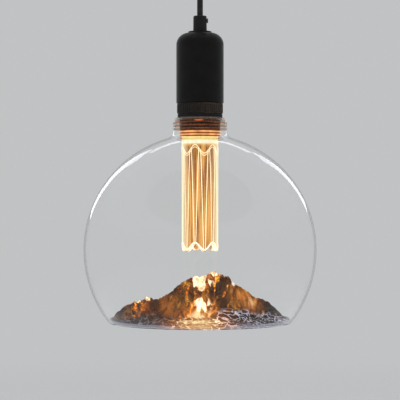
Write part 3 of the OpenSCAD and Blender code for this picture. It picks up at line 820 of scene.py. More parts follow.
@dataclass(frozen=True)
class CopperFinish:
    """Copper-toned collar with dark grooves and paler crests, which are painted shade and painted highlight,
    and a painted orange glow at its lower end that stands in for the light guide's light, with a painted red
    glow spot at its front.
    """

    slot: str = "collar_copper"
    tone: Colour = (0.5, 0.2, 0.065)
    second: Colour = (0.28, 0.1, 0.03)
    # painted shade: near black between the rings
    groove: Colour = (0.01, 0.0035, 0.002)
    unlit: Colour = (0.006, 0.0015, 0.0005)
    # painted glow in the grooves and on the crests, standing in for the guide's light
    painted_glow_dim: Colour = (0.36, 0.085, 0.004)
    painted_glow_hot: Colour = (1.0, 0.5, 0.19)
    # a painted red glow spot at the front of the collar
    painted_glow_spot: Colour = (0.62, 0.1, 0.012)
    painted_glow_spot_place: Place = (-1.0 * MM, -18.0 * MM, -169.8 * MM)
    painted_glow_spot_size: tuple[float, float, float] = (5.0 * MM, 6.0 * MM, 1.3 * MM)
    strength: float = 1.25
    low: float = 0.0
    high: float = 1.0
    root: float = 0.0
    crest: float = 1.0

    def build(self) -> bpy.types.Material:
        """Builds the material.

        Returns:
            The new material.
        """
        material, graph, output = blank_material(self.slot)
        spot = graph.spot()
        place = graph.add("ShaderNodeSeparateXYZ", {0: spot}).outputs
        flat = graph.add("ShaderNodeCombineXYZ", {"X": place["X"], "Y": place["Y"]}).outputs[0]
        # copper on the crests and near black in the grooves: painted highlight and painted shade
        raised = graph.between(graph.length(flat), self.root, self.crest)
        base = graph.effect(
            Effect.MOTTLE,
            {"Tone": self.tone, "Second Tone": self.second, "Scale": 160.0, "Smooth": 0.2, "Rough": 0.38},
        )
        uneven = graph.between(graph.grain(120.0, 3.0), 0.3, 0.7, 0.45, 1.0)
        # painted glow, strongest at the lower end nearest the guide
        low_end = graph.sum("MULTIPLY", graph.between(place["Z"], self.high, self.low), uneven)
        lit = graph.mix(low_end, self.unlit, graph.mix(raised, self.painted_glow_dim, self.painted_glow_hot))
        # adds the painted red glow spot
        away = graph.vector("DIVIDE", graph.vector("SUBTRACT", spot, self.painted_glow_spot_place), self.painted_glow_spot_size)
        lit = graph.mix(graph.between(graph.length(away), 1.0, 0.5), lit, self.painted_glow_spot)
        bump = graph.add("ShaderNodeBump", {"Height": base.outputs["Height"], "Distance": 0.02 * MM})
        shader = graph.add("ShaderNodeBsdfPrincipled", {
            "Base Color": graph.mix(raised, self.groove, base.outputs["Colour"]),
            "Metallic": 0.85,
            "Roughness": base.outputs["Roughness"],
            "Emission Color": lit,
            "Emission Strength": self.strength,
            "Normal": bump.outputs[0],
        })
        graph.feed(output.inputs["Surface"], shader.outputs[0])
        return material


@dataclass(frozen=True)
class MountainFinish:
    """Amber glass with a golden coat, with painted shade in its gullies, painted highlights in cream on lit
    faces, painted glow, and a crinkled lake whose bright lines are a painted reflection.
    """

    slot: str = "mountain_glass"
    gold: Colour = (0.28, 0.095, 0.008)
    amber: Colour = (0.7, 0.34, 0.05)
    umber: Colour = (0.042, 0.012, 0.0015)
    # near black: the gullies' painted shade, and the lake's dark ground
    black: Colour = (0.02, 0.0095, 0.0035)
    # painted highlight on crests and lit faces
    cream: Colour = (0.92, 0.84, 0.66)
    # painted reflection: the pale colour of the lake's crinkled lines
    ripple: Colour = (0.43, 0.43, 0.53)
    # painted glow, standing in for the guide's light in the glass
    painted_glow_dim: Colour = (1.0, 0.3, 0.04)
    painted_glow_hot: Colour = (1.0, 0.75, 0.38)
    stretch: tuple[float, float, float] = (1.0, 1.0, 0.42)
    crinkle_lean: float = -0.3
    crinkle_stretch: tuple[float, float, float] = (0.75, 0.28, 2.1)
    crinkle_scale: float = 170.0
    crinkle_drift: float = 0.014
    relief: float = 0.6 * MM

    def build(self) -> bpy.types.Material:
        """Builds the material.

        Returns:
            The new material.
        """
        material, graph, output = blank_material(self.slot)

        def mask(name: str) -> Socket:
            """A mask that the mesh carries."""
            return graph.add("ShaderNodeAttribute", attribute_name=name).outputs["Fac"]

        def broken(edge: Socket, noise_share: Socket) -> Socket:
            """A mask whose soft edge is broken up by a noise."""
            uneven = graph.sum("MULTIPLY", edge, graph.between(noise_share, 0.32, 0.68, 0.35, 1.6))
            return graph.between(uneven, 0.4, 0.62)

        spot = graph.spot()
        drawn = graph.vector("MULTIPLY", spot, self.stretch)
        patches = graph.between(graph.grain(85.0, 4.0, drawn), 0.42, 0.58)
        veins = graph.between(graph.grain(300.0, 6.0, drawn), 0.44, 0.6)
        flecks = graph.between(graph.grain(190.0, 6.0, drawn), 0.54, 0.66)
        streaks = graph.grain(230.0, 5.0, drawn)
        body = graph.mix(patches, self.gold, self.umber)
        body = graph.mix(graph.sum("MULTIPLY", veins, 0.6), body, self.umber)
        body = graph.mix(graph.sum("MULTIPLY", flecks, 0.65), body, self.amber)
        # painted shade in the gullies and where the crags dip
        dark = broken(mask("hollow"), streaks)
        body = graph.mix(dark, body, self.black)
        # painted highlight on crests and lit faces
        crest = broken(mask("crest"), streaks)
        pale = graph.sum("MULTIPLY", crest, graph.between(veins, 1.0, 0.0, 0.45, 1.0))
        body = graph.mix(pale, body, self.cream)
        # painted reflection in the lake's crinkled lines, and a painted highlight along the base's rim
        lines = self.crinkle(graph, spot)
        crinkle = graph.sum("MAXIMUM", graph.sum("MULTIPLY", lines, mask("sheen")), mask("rim"))
        lake = mask("lake")
        body = graph.mix(lake, body, graph.mix(crinkle, self.black, self.ripple))
        land = graph.sum("SUBTRACT", 1.0, lake)
        dry = graph.sum("MULTIPLY", land, graph.between(streaks, 0.36, 0.56, 0.22, 1.0))
        wet = graph.sum("MULTIPLY", lake, graph.between(lines, 0.0, 1.0, 0.28, 1.0))
        # painted glow, standing in for the guide's light in the glass
        glow = graph.sum("MULTIPLY", mask("glow"), graph.sum("ADD", dry, wet))
        heat = graph.between(glow, 0.25, 0.95)
        fine = graph.grain(430.0, 5.0)
        bump = graph.add("ShaderNodeBump", {"Height": fine, "Distance": self.relief})
        covered = graph.sum("MAXIMUM", graph.sum("MAXIMUM", lake, dark), pale)
        gilt = graph.sum("SUBTRACT", 1.0, covered, True)
        shader = graph.add("ShaderNodeBsdfPrincipled", {
            "Base Color": body,
            "Metallic": graph.sum("MULTIPLY", gilt, 0.75),
            "Roughness": graph.between(fine, 0.3, 0.7, 0.12, 0.36),
            "Specular IOR Level": 0.0,
            "Specular Tint": (0.85, 0.42, 0.12, 1.0),
            "Coat Weight": graph.sum("MULTIPLY", gilt, 0.1),
            "Coat Roughness": 0.05,
            "Emission Color": graph.mix(glow, (0.0, 0.0, 0.0), graph.mix(heat, self.painted_glow_dim, self.painted_glow_hot)),
            "Emission Strength": 1.0,
            "Normal": bump.outputs[0],
        })
        graph.feed(output.inputs["Surface"], shader.outputs[0])
        return material

    def crinkle(self, graph: Graph, spot: Socket) -> Socket:
        """Bright crinkled lines, a painted reflection on the crinkled glass: long front to back, and lying
        across where the glass is steep.

        Args:
            graph: The material's graph.
            spot: The piece's own coordinates.

        Returns:
            A mask that is 1 on the lines.
        """
        lean = {"Vector": spot, "Angle": self.crinkle_lean}
        turned_spot = graph.add("ShaderNodeVectorRotate", lean, rotation_type="Y_AXIS").outputs[0]
        long = graph.vector("MULTIPLY", turned_spot, self.crinkle_stretch)
        drift = graph.add("ShaderNodeTexNoise", {"Vector": long, "Scale": 110.0, "Detail": 3.0})
        pull = graph.vector("ADD", drift.outputs["Color"], (-0.5, -0.5, -0.5))
        short = graph.add("ShaderNodeVectorMath", {0: pull, "Scale": self.crinkle_drift}, operation="SCALE")
        bent = {"Vector": graph.vector("ADD", long, short.outputs[0]), "Scale": self.crinkle_scale}
        cells = graph.add("ShaderNodeTexVoronoi", bent, feature="DISTANCE_TO_EDGE").outputs["Distance"]
        thick = graph.between(graph.grain(70.0, 2.0, long), 0.35, 0.65, 0.03, 0.12)
        return graph.sum("SUBTRACT", 1.0, graph.between(graph.sum("DIVIDE", cells, thick), 0.4, 1.0))


class Paintbox:
    """Builds each finish once, and puts it on pieces and on carried-over nodes."""

    def __init__(self, nodes: Mapping[str, bpy.types.Object]) -> None:
        """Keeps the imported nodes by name."""
        self.nodes = nodes
        self.built: dict[object, bpy.types.Material] = {}

    def material(self, finish: object) -> bpy.types.Material:
        """A finish's material, built the first time it is asked for.

        Args:
            finish: The finish.

        Returns:
            Its material.
        """
        if finish not in self.built:
            self.built[finish] = finish.build()
        return self.built[finish]

    def paint(self, piece: bpy.types.Object, finish: object) -> None:
        """Gives a piece one finish.

        Args:
            piece: The visible piece.
            finish: Its finish.
        """
        piece.data.materials.clear()
        piece.data.materials.append(self.material(finish))

    def keep(self, finish: object, *names: str) -> None:
        """Gives a finish to nodes that stay as they were packed.

        Args:
            finish: The finish.
            names: The nodes' names.
        """
        for name in names:
            for slot in self.nodes[name].material_slots:
                slot.material = self.material(finish)

    def place(self, piece: bpy.types.Object, finish: object, body: Body, *stands_for: str) -> None:
        """Finishes a piece, makes it ride on a body and hides the nodes that it stands for.

        Args:
            piece: The visible piece.
            finish: Its finish.
            body: The body that it rides on.
            stands_for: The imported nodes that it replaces, if any.
        """
        self.paint(piece, finish)
        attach(piece, body.value)
        if stands_for:
            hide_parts(*stands_for)
        LOG.info("%s rides on %s", piece.name, body.value)


ENAMEL = Finish("shell_black", (0.0025, 0.0024, 0.0024), (0.004, 0.0038, 0.0037), 90.0, 0.3, 0.42,
                specular=0.12, coat=0.04, grain=0.006 * MM, worn=(0.09, 0.085, 0.08), wear=0.3, dust=0.03)
CUP_ENAMEL = Finish("cup_black", (0.005, 0.0048, 0.0047), (0.008, 0.0077, 0.0075), 80.0, 0.3, 0.42,
                    specular=0.2, coat=0.05, grain=0.006 * MM, worn=(0.09, 0.085, 0.08), wear=0.3, dust=0.04)
MOULDED = Finish("band_black", (0.006, 0.005, 0.0042), (0.01, 0.008, 0.0065), 260.0, 0.36, 0.55,
                 specular=0.18, grain=0.03 * MM, worn=(0.07, 0.062, 0.055), wear=0.5, dust=0.04)
GRIP = Finish("grip_black", (0.005, 0.0048, 0.0047), (0.008, 0.0077, 0.0075), 300.0, 0.4, 0.58,
              specular=0.2, grain=0.03 * MM, worn=(0.08, 0.075, 0.07), wear=0.4, dust=0.1)
NYLON = Finish("grip_screw_black", (0.03, 0.029, 0.028), (0.045, 0.043, 0.041), 500.0, 0.35, 0.5, wear=0.3)
RUBBER = Finish("seal_rubber", (0.006, 0.006, 0.006), (0.01, 0.0095, 0.0095), 420.0, 0.6, 0.8, specular=0.2,
                grain=0.04 * MM, dust=0.06)
HOUSING = Finish("housing_black", (0.02, 0.018, 0.016), (0.03, 0.027, 0.024), 300.0, 0.4, 0.55)
ZINC = Finish("screw_zinc", (0.62, 0.62, 0.6), (0.5, 0.5, 0.47), 350.0, 0.2, 0.4, metallic=1.0,
              worn=(0.8, 0.8, 0.78), wear=0.3)
SHEET_STEEL = Finish("plate_steel", (0.6, 0.61, 0.61), (0.47, 0.48, 0.5), 120.0, 0.25, 0.45, metallic=1.0,
                     worn=(0.8, 0.8, 0.8), wear=0.4)
BRASS = Finish("contact_brass", (0.78, 0.56, 0.24), (0.62, 0.42, 0.17), 300.0, 0.18, 0.36, metallic=1.0,
               worn=(0.95, 0.8, 0.45), wear=0.4)
NICKEL = Finish("cap_nickel", (0.66, 0.63, 0.57), (0.52, 0.49, 0.43), 240.0, 0.16, 0.34, metallic=1.0,
                worn=(0.86, 0.84, 0.8), wear=0.5)
THERMOSET = Finish("insert_brown", (0.1, 0.042, 0.021), (0.15, 0.066, 0.034), 180.0, 0.22, 0.4, coat=0.3)
WHITE_MOULDED = Finish("terminal_white", (0.74, 0.73, 0.7), (0.66, 0.65, 0.61), 200.0, 0.35, 0.5)
BROWN_WIRE = Finish("wire_brown", (0.14, 0.06, 0.025), (0.18, 0.08, 0.035), 500.0, 0.3, 0.45)
BLUE_WIRE = Finish("wire_blue", (0.03, 0.1, 0.42), (0.045, 0.14, 0.5), 500.0, 0.3, 0.45)
RED_WIRE = Finish("wire_red", (0.45, 0.03, 0.025), (0.55, 0.05, 0.04), 500.0, 0.3, 0.45)
VITRITE = Finish("cap_vitrite", (0.012, 0.012, 0.016), (0.025, 0.024, 0.03), 300.0, 0.08, 0.2, coat=0.5)
MASK_GREEN = Finish("board_green", (0.02, 0.15, 0.05), (0.035, 0.23, 0.075), 900.0, 0.25, 0.4, coat=0.3)
CAN_BLUE = Finish("capacitor_blue", (0.012, 0.02, 0.11), (0.02, 0.035, 0.16), 300.0, 0.15, 0.3, coat=0.3)
WINDING = Finish("coil_copper", (0.6, 0.25, 0.09), (0.45, 0.17, 0.06), 1500.0, 0.2, 0.35, metallic=1.0,
                 grain=0.08 * MM)
EPOXY = Finish("chip_black", (0.018, 0.018, 0.019), (0.028, 0.028, 0.03), 900.0, 0.45, 0.6, grain=0.03 * MM)
LACQUER = Finish("fuse_green", (0.05, 0.27, 0.18), (0.08, 0.34, 0.24), 500.0, 0.15, 0.3, coat=0.4)
TURNED_METAL = Finish("sink_aluminium", (0.72, 0.72, 0.72), (0.6, 0.6, 0.61), 500.0, 0.22, 0.38, metallic=1.0)
WHITE_MASK = Finish("led_board_white", (0.82, 0.82, 0.8), (0.76, 0.76, 0.73), 300.0, 0.3, 0.42)
SILICONE = Finish("gasket_silicone", (0.56, 0.5, 0.42), (0.62, 0.56, 0.47), 300.0, 0.35, 0.5)
CEMENT = Finish("cement_grey", (0.2, 0.14, 0.1), (0.28, 0.2, 0.14), 600.0, 0.6, 0.85, grain=0.06 * MM)
BRAID = BraidFinish()
GILDED_GLASS = MountainFinish()
PHOSPHOR = GlowFinish("led_phosphor", "led_phosphor", (1.0, 0.8, 0.4), (1.0, 0.86, 0.5), (1.0, 0.8, 0.5),
                      (1.0, 0.86, 0.6), 2.5)
GUIDE_WALL = GlowFinish("guide_acrylic", "guide_wall", (0.12, 0.05, 0.012), (0.06, 0.025, 0.006),
                        (0.92, 0.46, 0.11), (0.22, 0.055, 0.004), 0.86, 0.92, across=480.0, along=22.0,
                        edge_share=0.85)
GUIDE_LINE = GlowFinish("guide_acrylic", "guide_line", (0.9, 0.75, 0.5), (0.9, 0.7, 0.42),
                        (1.0, 0.83, 0.54), (1.0, 0.72, 0.38), 0.85, along=120.0)
GUIDE_EDGE = GlowFinish("guide_acrylic", "guide_edge", (0.95, 0.85, 0.65), (0.95, 0.8, 0.55),
                        (1.0, 0.9, 0.68), (1.0, 0.82, 0.52), 1.0, along=200.0)


# Sub-assemblies


@dataclass
class CeilingFitting:
    """The small cup that the cord comes out of, on its plate."""

    paints: Paintbox
    wall: float = 1.6 * MM
    rounding: float = 5.0 * MM
    edge_round: float = 0.4 * MM
    stem: float = 4.95 * MM
    screw_head: float = 2.6 * MM
    screw_head_height: float = 1.5 * MM
    screw_end: float = 25.0 * MM

    def build(self) -> None:
        """Builds the cup and its screws, and dresses what is inside."""
        self.build_cup()
        self.build_screws()
        keep = self.paints.keep
        keep(SHEET_STEEL, "ceiling_plate")
        keep(ZINC, "cup_grip_nut", "block_screws")
        keep(WHITE_MOULDED, "terminal_block")
        keep(BROWN_WIRE, "cup_wires")

    def build_cup(self) -> None:
        """A spun cup with a rounded lower edge."""
        cup = Extent.of("ceiling_cup")
        r, top, low = cup.radius, cup.top, cup.bottom
        outline = rounded([
            (self.stem, low, 0),
            (r, low, self.rounding),
            (r, top, self.edge_round),
            (r - self.wall, top, self.edge_round),
            (r - self.wall, low + self.wall, self.rounding - self.wall),
            (self.stem, low + self.wall, 0),
        ], 8)
        self.paints.place(turned("spun_ceiling_cup", outline, 128), CUP_ENAMEL, Body.HOLDER, "ceiling_cup")

    def build_screws(self) -> None:
        """The two screws through the cup's side, with a slot across each head."""
        low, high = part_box("cup_screws")
        height = (low.z + high.z) / 2
        foot = high.y - self.screw_head_height
        for name, side, stands_for in (("front", -1, ("cup_screws",)), ("back", 1, ())):
            shank = foot - self.screw_end
            screw = screw_piece(f"cup_screw_{name}", self.screw_head_height, self.screw_head, shank)
            screw.rotation_euler = (math.radians(-90 * side), 0, 0)
            screw.location = (0, foot * side, height)
            bake_place(screw)
            self.paints.place(screw, ZINC, Body.HOLDER, *stands_for)


def screw_piece(name: str, head_h: float, head_r: float, shank_h: float) -> bpy.types.Object:
    """A slotted screw that points down, with the foot of its head at the origin.

    Args:
        name: Name of the piece.
        head_h: Height of its head.
        head_r: Radius of its head.
        shank_h: Length of its shank.

    Returns:
        The new object.
    """
    shank_r = 1.45 * MM
    half_slot = 0.3 * MM
    outline = rounded([
        (0, head_h, 0),
        (head_r, head_h, 0.55 * MM),
        (head_r, 0, 0.15 * MM),
        (shank_r, 0, 0),
        (shank_r, -shank_h, 0.2 * MM),
        (0, -shank_h, 0),
    ])
    screw = turned(name, outline, 40)
    slotted(screw, (-2 * head_r, -half_slot, head_h * 0.45), (2 * head_r, half_slot, head_h * 2))
    return screw


def bake_place(piece: bpy.types.Object) -> None:
    """Moves a piece's place and turn into its mesh.

    Args:
        piece: The piece, which ends at the origin and unturned.
    """
    bpy.context.view_layer.update()
    piece.data.transform(piece.matrix_world)
    piece.matrix_world.identity()
    piece.rotation_euler = (0, 0, 0)
    piece.location = (0, 0, 0)


@dataclass
class Suspension:
    """The taut braided cord between its two grips."""

    paints: Paintbox
    cord_radius: float = 2.5 * MM
    cord_sides: int = 40
    cord_steps: int = 4
    grip_radius: float = 5.9 * MM
    grip_play: float = 0.25 * MM
    chamfer: float = 1.0 * MM
    stem_radius: float = 4.9 * MM
    stem_height: float = 8.0 * MM
    screw_radius: float = 2.0 * MM
    screw_head_height: float = 1.1 * MM
    screw_gap: float = 0.1 * MM
    route: tuple[Place, ...] = tuple((0.0, 0.0, z * MM) for z in (
        -12, -18, -24, -30, -36, -42, -48, -54, -60, -66, -72, -78, -84, -90, -96, -102
    ))

    def build(self) -> None:
        """Builds the cord, the grips and their side screws."""
        self.build_cord()
        self.build_grip("lower_cord_grip", "cord_grip", True)
        self.build_grip("upper_cord_grip", "cup_cord_grip", False)
        self.build_screws()

    def build_cord(self) -> None:
        """The cord, from inside the lampholder up to inside the ceiling cup."""
        line = [Vector(p) for p in reversed(self.route)]
        steps = self.cord_steps
        fine = [line[i].lerp(line[i + 1], k / steps) for i in range(len(line) - 1) for k in range(steps)]
        fine.append(line[-1])
        side = np.tile([1.0, 0, 0], (len(fine), 1))
        points, faces = swept_data(np.array(fine), self.cord_radius, self.cord_sides, side)
        cord = mesh_piece("braided_cord", points, faces)
        crisp(cord)
        self.paints.place(cord, BRAID, Body.HOLDER, "cord")

    def build_grip(self, name: str, node: str, stem_below: bool) -> None:
        """One cord grip, its stem through the wall and its mouth rounded for the cord.

        Args:
            name: Name of the piece.
            node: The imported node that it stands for.
            stem_below: True if its stem points down.
        """
        grip = Extent.of(node)
        bore = self.cord_radius + self.grip_play
        mouth, wall, end = (grip.top, grip.bottom + self.stem_height, grip.bottom)
        if not stem_below:
            mouth, wall, end = (grip.bottom, grip.top - self.stem_height, grip.top)
        outline = rounded([
            (bore, mouth, 0.5 * MM),
            (self.grip_radius - self.chamfer * 0.2, mouth, self.chamfer),
            (self.grip_radius, wall, 0.25 * MM),
            (self.stem_radius, wall, 0),
            (self.stem_radius, end, 0.5 * MM),
            (bore, end, 0),
        ])
        self.paints.place(turned(name, outline, 72), GRIP, Body.HOLDER, node)

    def build_screws(self) -> None:
        """The side screw of each grip."""
        low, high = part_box("grip_screws")
        foot = high.x - self.screw_head_height
        shank = foot - self.cord_radius - self.screw_gap
        for name, height, stands_for in (
            ("lower", low.z + self.screw_radius, ("grip_screws",)), ("upper", high.z - self.screw_radius, ())
        ):
            screw = screw_piece(f"{name}_grip_screw", self.screw_head_height, self.screw_radius, shank)
            screw.rotation_euler = (0, math.radians(90), 0)
            screw.location = (foot, 0, height)
            bake_place(screw)
            self.paints.place(screw, NYLON, Body.HOLDER, *stands_for)


@dataclass
class Lampholder:
    """The black shell, the ribbed band under it and the contacts inside."""

    paints: Paintbox
    wall: float = 1.2 * MM
    top_radius: float = 10.2 * MM
    top_height: float = 1.4 * MM
    stem: float = 4.95 * MM
    rib_count: int = 56
    rib_depth: float = 0.55 * MM
    rib_round: float = 0.7
    rib_margin: float = 0.5 * MM
    rib_run: float = 0.7 * MM
    end_depth: float = 0.55
    bore: float = 16.1 * MM
    spigot_height: float = 6 * MM
    spigot_play: float = 0.3 * MM
    seam_step: float = 0.1 * MM

    def build(self) -> None:
        """Builds the shell and the band, and dresses the inside."""
        self.build_shell()
        self.build_band()
        keep = self.paints.keep
        keep(THERMOSET, "holder_insert")
        keep(BRASS, "thread_sleeve", "centre_contact", "side_contact")
        keep(ZINC, "terminal_screws", "grip_nut")
        keep(BROWN_WIRE, "wire_live")
        keep(BLUE_WIRE, "wire_neutral")

    def build_shell(self) -> None:
        """A drawn shell with a raised disc and a round shoulder."""
        shell = Extent.of("holder_shell")
        r, top, low = shell.radius, shell.top, shell.bottom
        shoulder = r - self.top_radius
        centre = (self.top_radius, top - self.top_height - shoulder)
        roof = top - self.top_height - self.wall
        disc = rounded([
            (self.stem, top, 0),
            (self.top_radius - 0.15 * MM, top, 0.5 * MM),
            (self.top_radius, top - self.top_height, 0.15 * MM),
        ])[:-3]
        foot = rounded([
            (r, centre[1], 0),
            (r, low, 0.5 * MM),
            (r - self.wall, low, 0.3 * MM),
            (r - self.wall, centre[1], 0),
        ])
        outline = (
            disc + arc(centre, shoulder, 89, 1, 24) + foot
            + arc(centre, shoulder - self.wall, 1, 89, 24) + [(self.stem, roof)]
        )
        self.paints.place(turned("drawn_holder_shell", outline, 160), ENAMEL, Body.HOLDER, "holder_shell")

    def build_band(self) -> None:
        """The retaining ring, with rounded ribs round its band."""
        ring = Extent.of("knurled_ring")
        shell = Extent.of("holder_shell")
        r, low, seam = ring.radius, ring.bottom, shell.bottom
        spigot = shell.radius - self.wall - self.spigot_play
        groove = r - self.rib_depth

        def ribs(angle: float, radius: float, height: float) -> float:
            """Rounded ribs on the middle of the band.

            Args:
                angle: Angle round the axis.
                radius: The band's radius without ribs.
                height: Height on the band.

            Returns:
                The radius with ribs.
            """
            if radius < groove or height > seam:
                return radius
            fade = min(1.0, (min(seam - height, height - low) - self.rib_margin) / self.rib_run)
            wave = abs(math.sin(angle * self.rib_count / 2)) ** self.rib_round
            depth = self.rib_depth * (1 - wave * max(fade, 0.0))
            return radius - depth * (1 if fade > 0 else self.end_depth)

        side = [(r, float(z)) for z in np.linspace(seam - 0.3 * MM, low + 0.3 * MM, 22)]
        spigot_top, inset = seam + self.spigot_height, groove + self.seam_step
        outline = (
            [(self.bore, spigot_top), (spigot, spigot_top), (spigot, seam), (inset, seam)]
            + side
            + [(inset, low), (self.bore + 0.5 * MM, low), (self.bore, low + 0.5 * MM)]
        )
        band = turned("ribbed_retaining_ring", outline, self.rib_count * 10, ribs)
        self.paints.place(band, MOULDED, Body.HOLDER, "knurled_ring")


@dataclass
class Seal:
    """The rubber ring between the lampholder and the bulb."""

    paints: Paintbox
    bore: float = 14.45 * MM
    bead: float = 0.5 * MM

    def build(self) -> None:
        """A ring with a bead round its middle."""
        ring = Extent.of("seal_ring")
        r, top, low = ring.radius, ring.top, ring.bottom
        middle = (top + low) / 2
        plain = r - self.bead
        outline = rounded([
            (self.bore, top, 0.2 * MM),
            (plain, top, 0.35 * MM),
            (plain, middle + self.bead, 0.1 * MM),
            (r, middle, 0.4 * MM),
            (plain, middle - self.bead, 0.1 * MM),
            (plain, low, 0.35 * MM),
            (self.bore, low, 0.2 * MM),
        ])
        self.paints.place(turned("beaded_seal", outline, 128), RUBBER, Body.SEAL, "seal_ring")


@dataclass
class ScrewCap:
    """The bulb's threaded cap and what is in it."""

    paints: Paintbox
    pitch: float = 3.62 * MM
    depth: float = 0.95 * MM
    sheet: float = 0.4 * MM
    shoulder: float = 1.4 * MM
    crown: float = 2.4 * MM
    plain_low: float = 1.6 * MM
    plain_top: float = 2.4 * MM

    def build(self) -> None:
        """Builds the threaded shell, and dresses its insulator, contact and driver."""
        self.build_thread()
        keep = self.paints.keep
        keep(VITRITE, "cap_insulator")
        keep(BRASS, "cap_contact")
        keep(HOUSING, "driver_housing")
        keep(MASK_GREEN, "driver_board")
        keep(CAN_BLUE, "driver_capacitor")
        keep(WINDING, "driver_coil")
        keep(EPOXY, "driver_chips")
        keep(LACQUER, "fuse_resistor")
        keep(BLUE_WIRE, "lead_neutral")
        keep(RED_WIRE, "board_leads")

    def build_thread(self) -> None:
        """The cap's sheet with its rolled, rounded, right-handed thread."""
        cap = Extent.of("screw_cap")
        r, top, low = cap.radius, cap.top, cap.bottom
        start, end = low + self.plain_low, top - self.plain_top

        def rolled(angle: float, radius: float, height: float) -> float:
            """Radius of the rolled sheet.

            Args:
                angle: Angle round the axis.
                radius: The sheet's radius without the thread.
                height: Height on the cap.

            Returns:
                The radius with the thread.
            """
            if radius < r - self.shoulder:
                return radius
            rise = max(0.0, (height - start) / self.pitch)
            fall = max(0.0, (end - height) / self.pitch) * 1.5
            wave = 0.5 - 0.5 * math.cos(2 * math.pi * (height / self.pitch - angle / (2 * math.pi)))
            return radius - self.depth * wave * min(1.0, rise, fall)

        foot = top - self.shoulder
        heights = [float(z) for z in np.linspace(low, foot, 84)]
        outer = [(r, z) for z in heights]
        inner = [(r - self.sheet, z) for z in reversed(heights[:-1])]
        bend = (r - self.shoulder * 0.9, top, 0.5 * MM)
        crest = rounded([(r, foot, 0), bend, (r - self.crown, top, 0)])[1:]
        under = top - self.sheet
        outline = outer + crest + [(r - self.crown, under), (r - self.shoulder - 0.2 * MM, under)] + inner
        self.paints.place(turned("threaded_screw_cap", outline, 96, rolled), NICKEL, Body.BULB, "screw_cap")


@dataclass(frozen=True)
class Groove:
    """One kind of engraved line down the light guide.

    Its spreads are angles from the middle of its pair, and its thickness is a share of the full line's.
    """

    spread_top: float
    spread_low: float
    depth: float
    thickness: float


@dataclass(frozen=True)
class Bead:
    """One bright line round the light guide's cut end: how far in and up it lies, and its radius."""

    inset: float
    rise: float
    radius: float


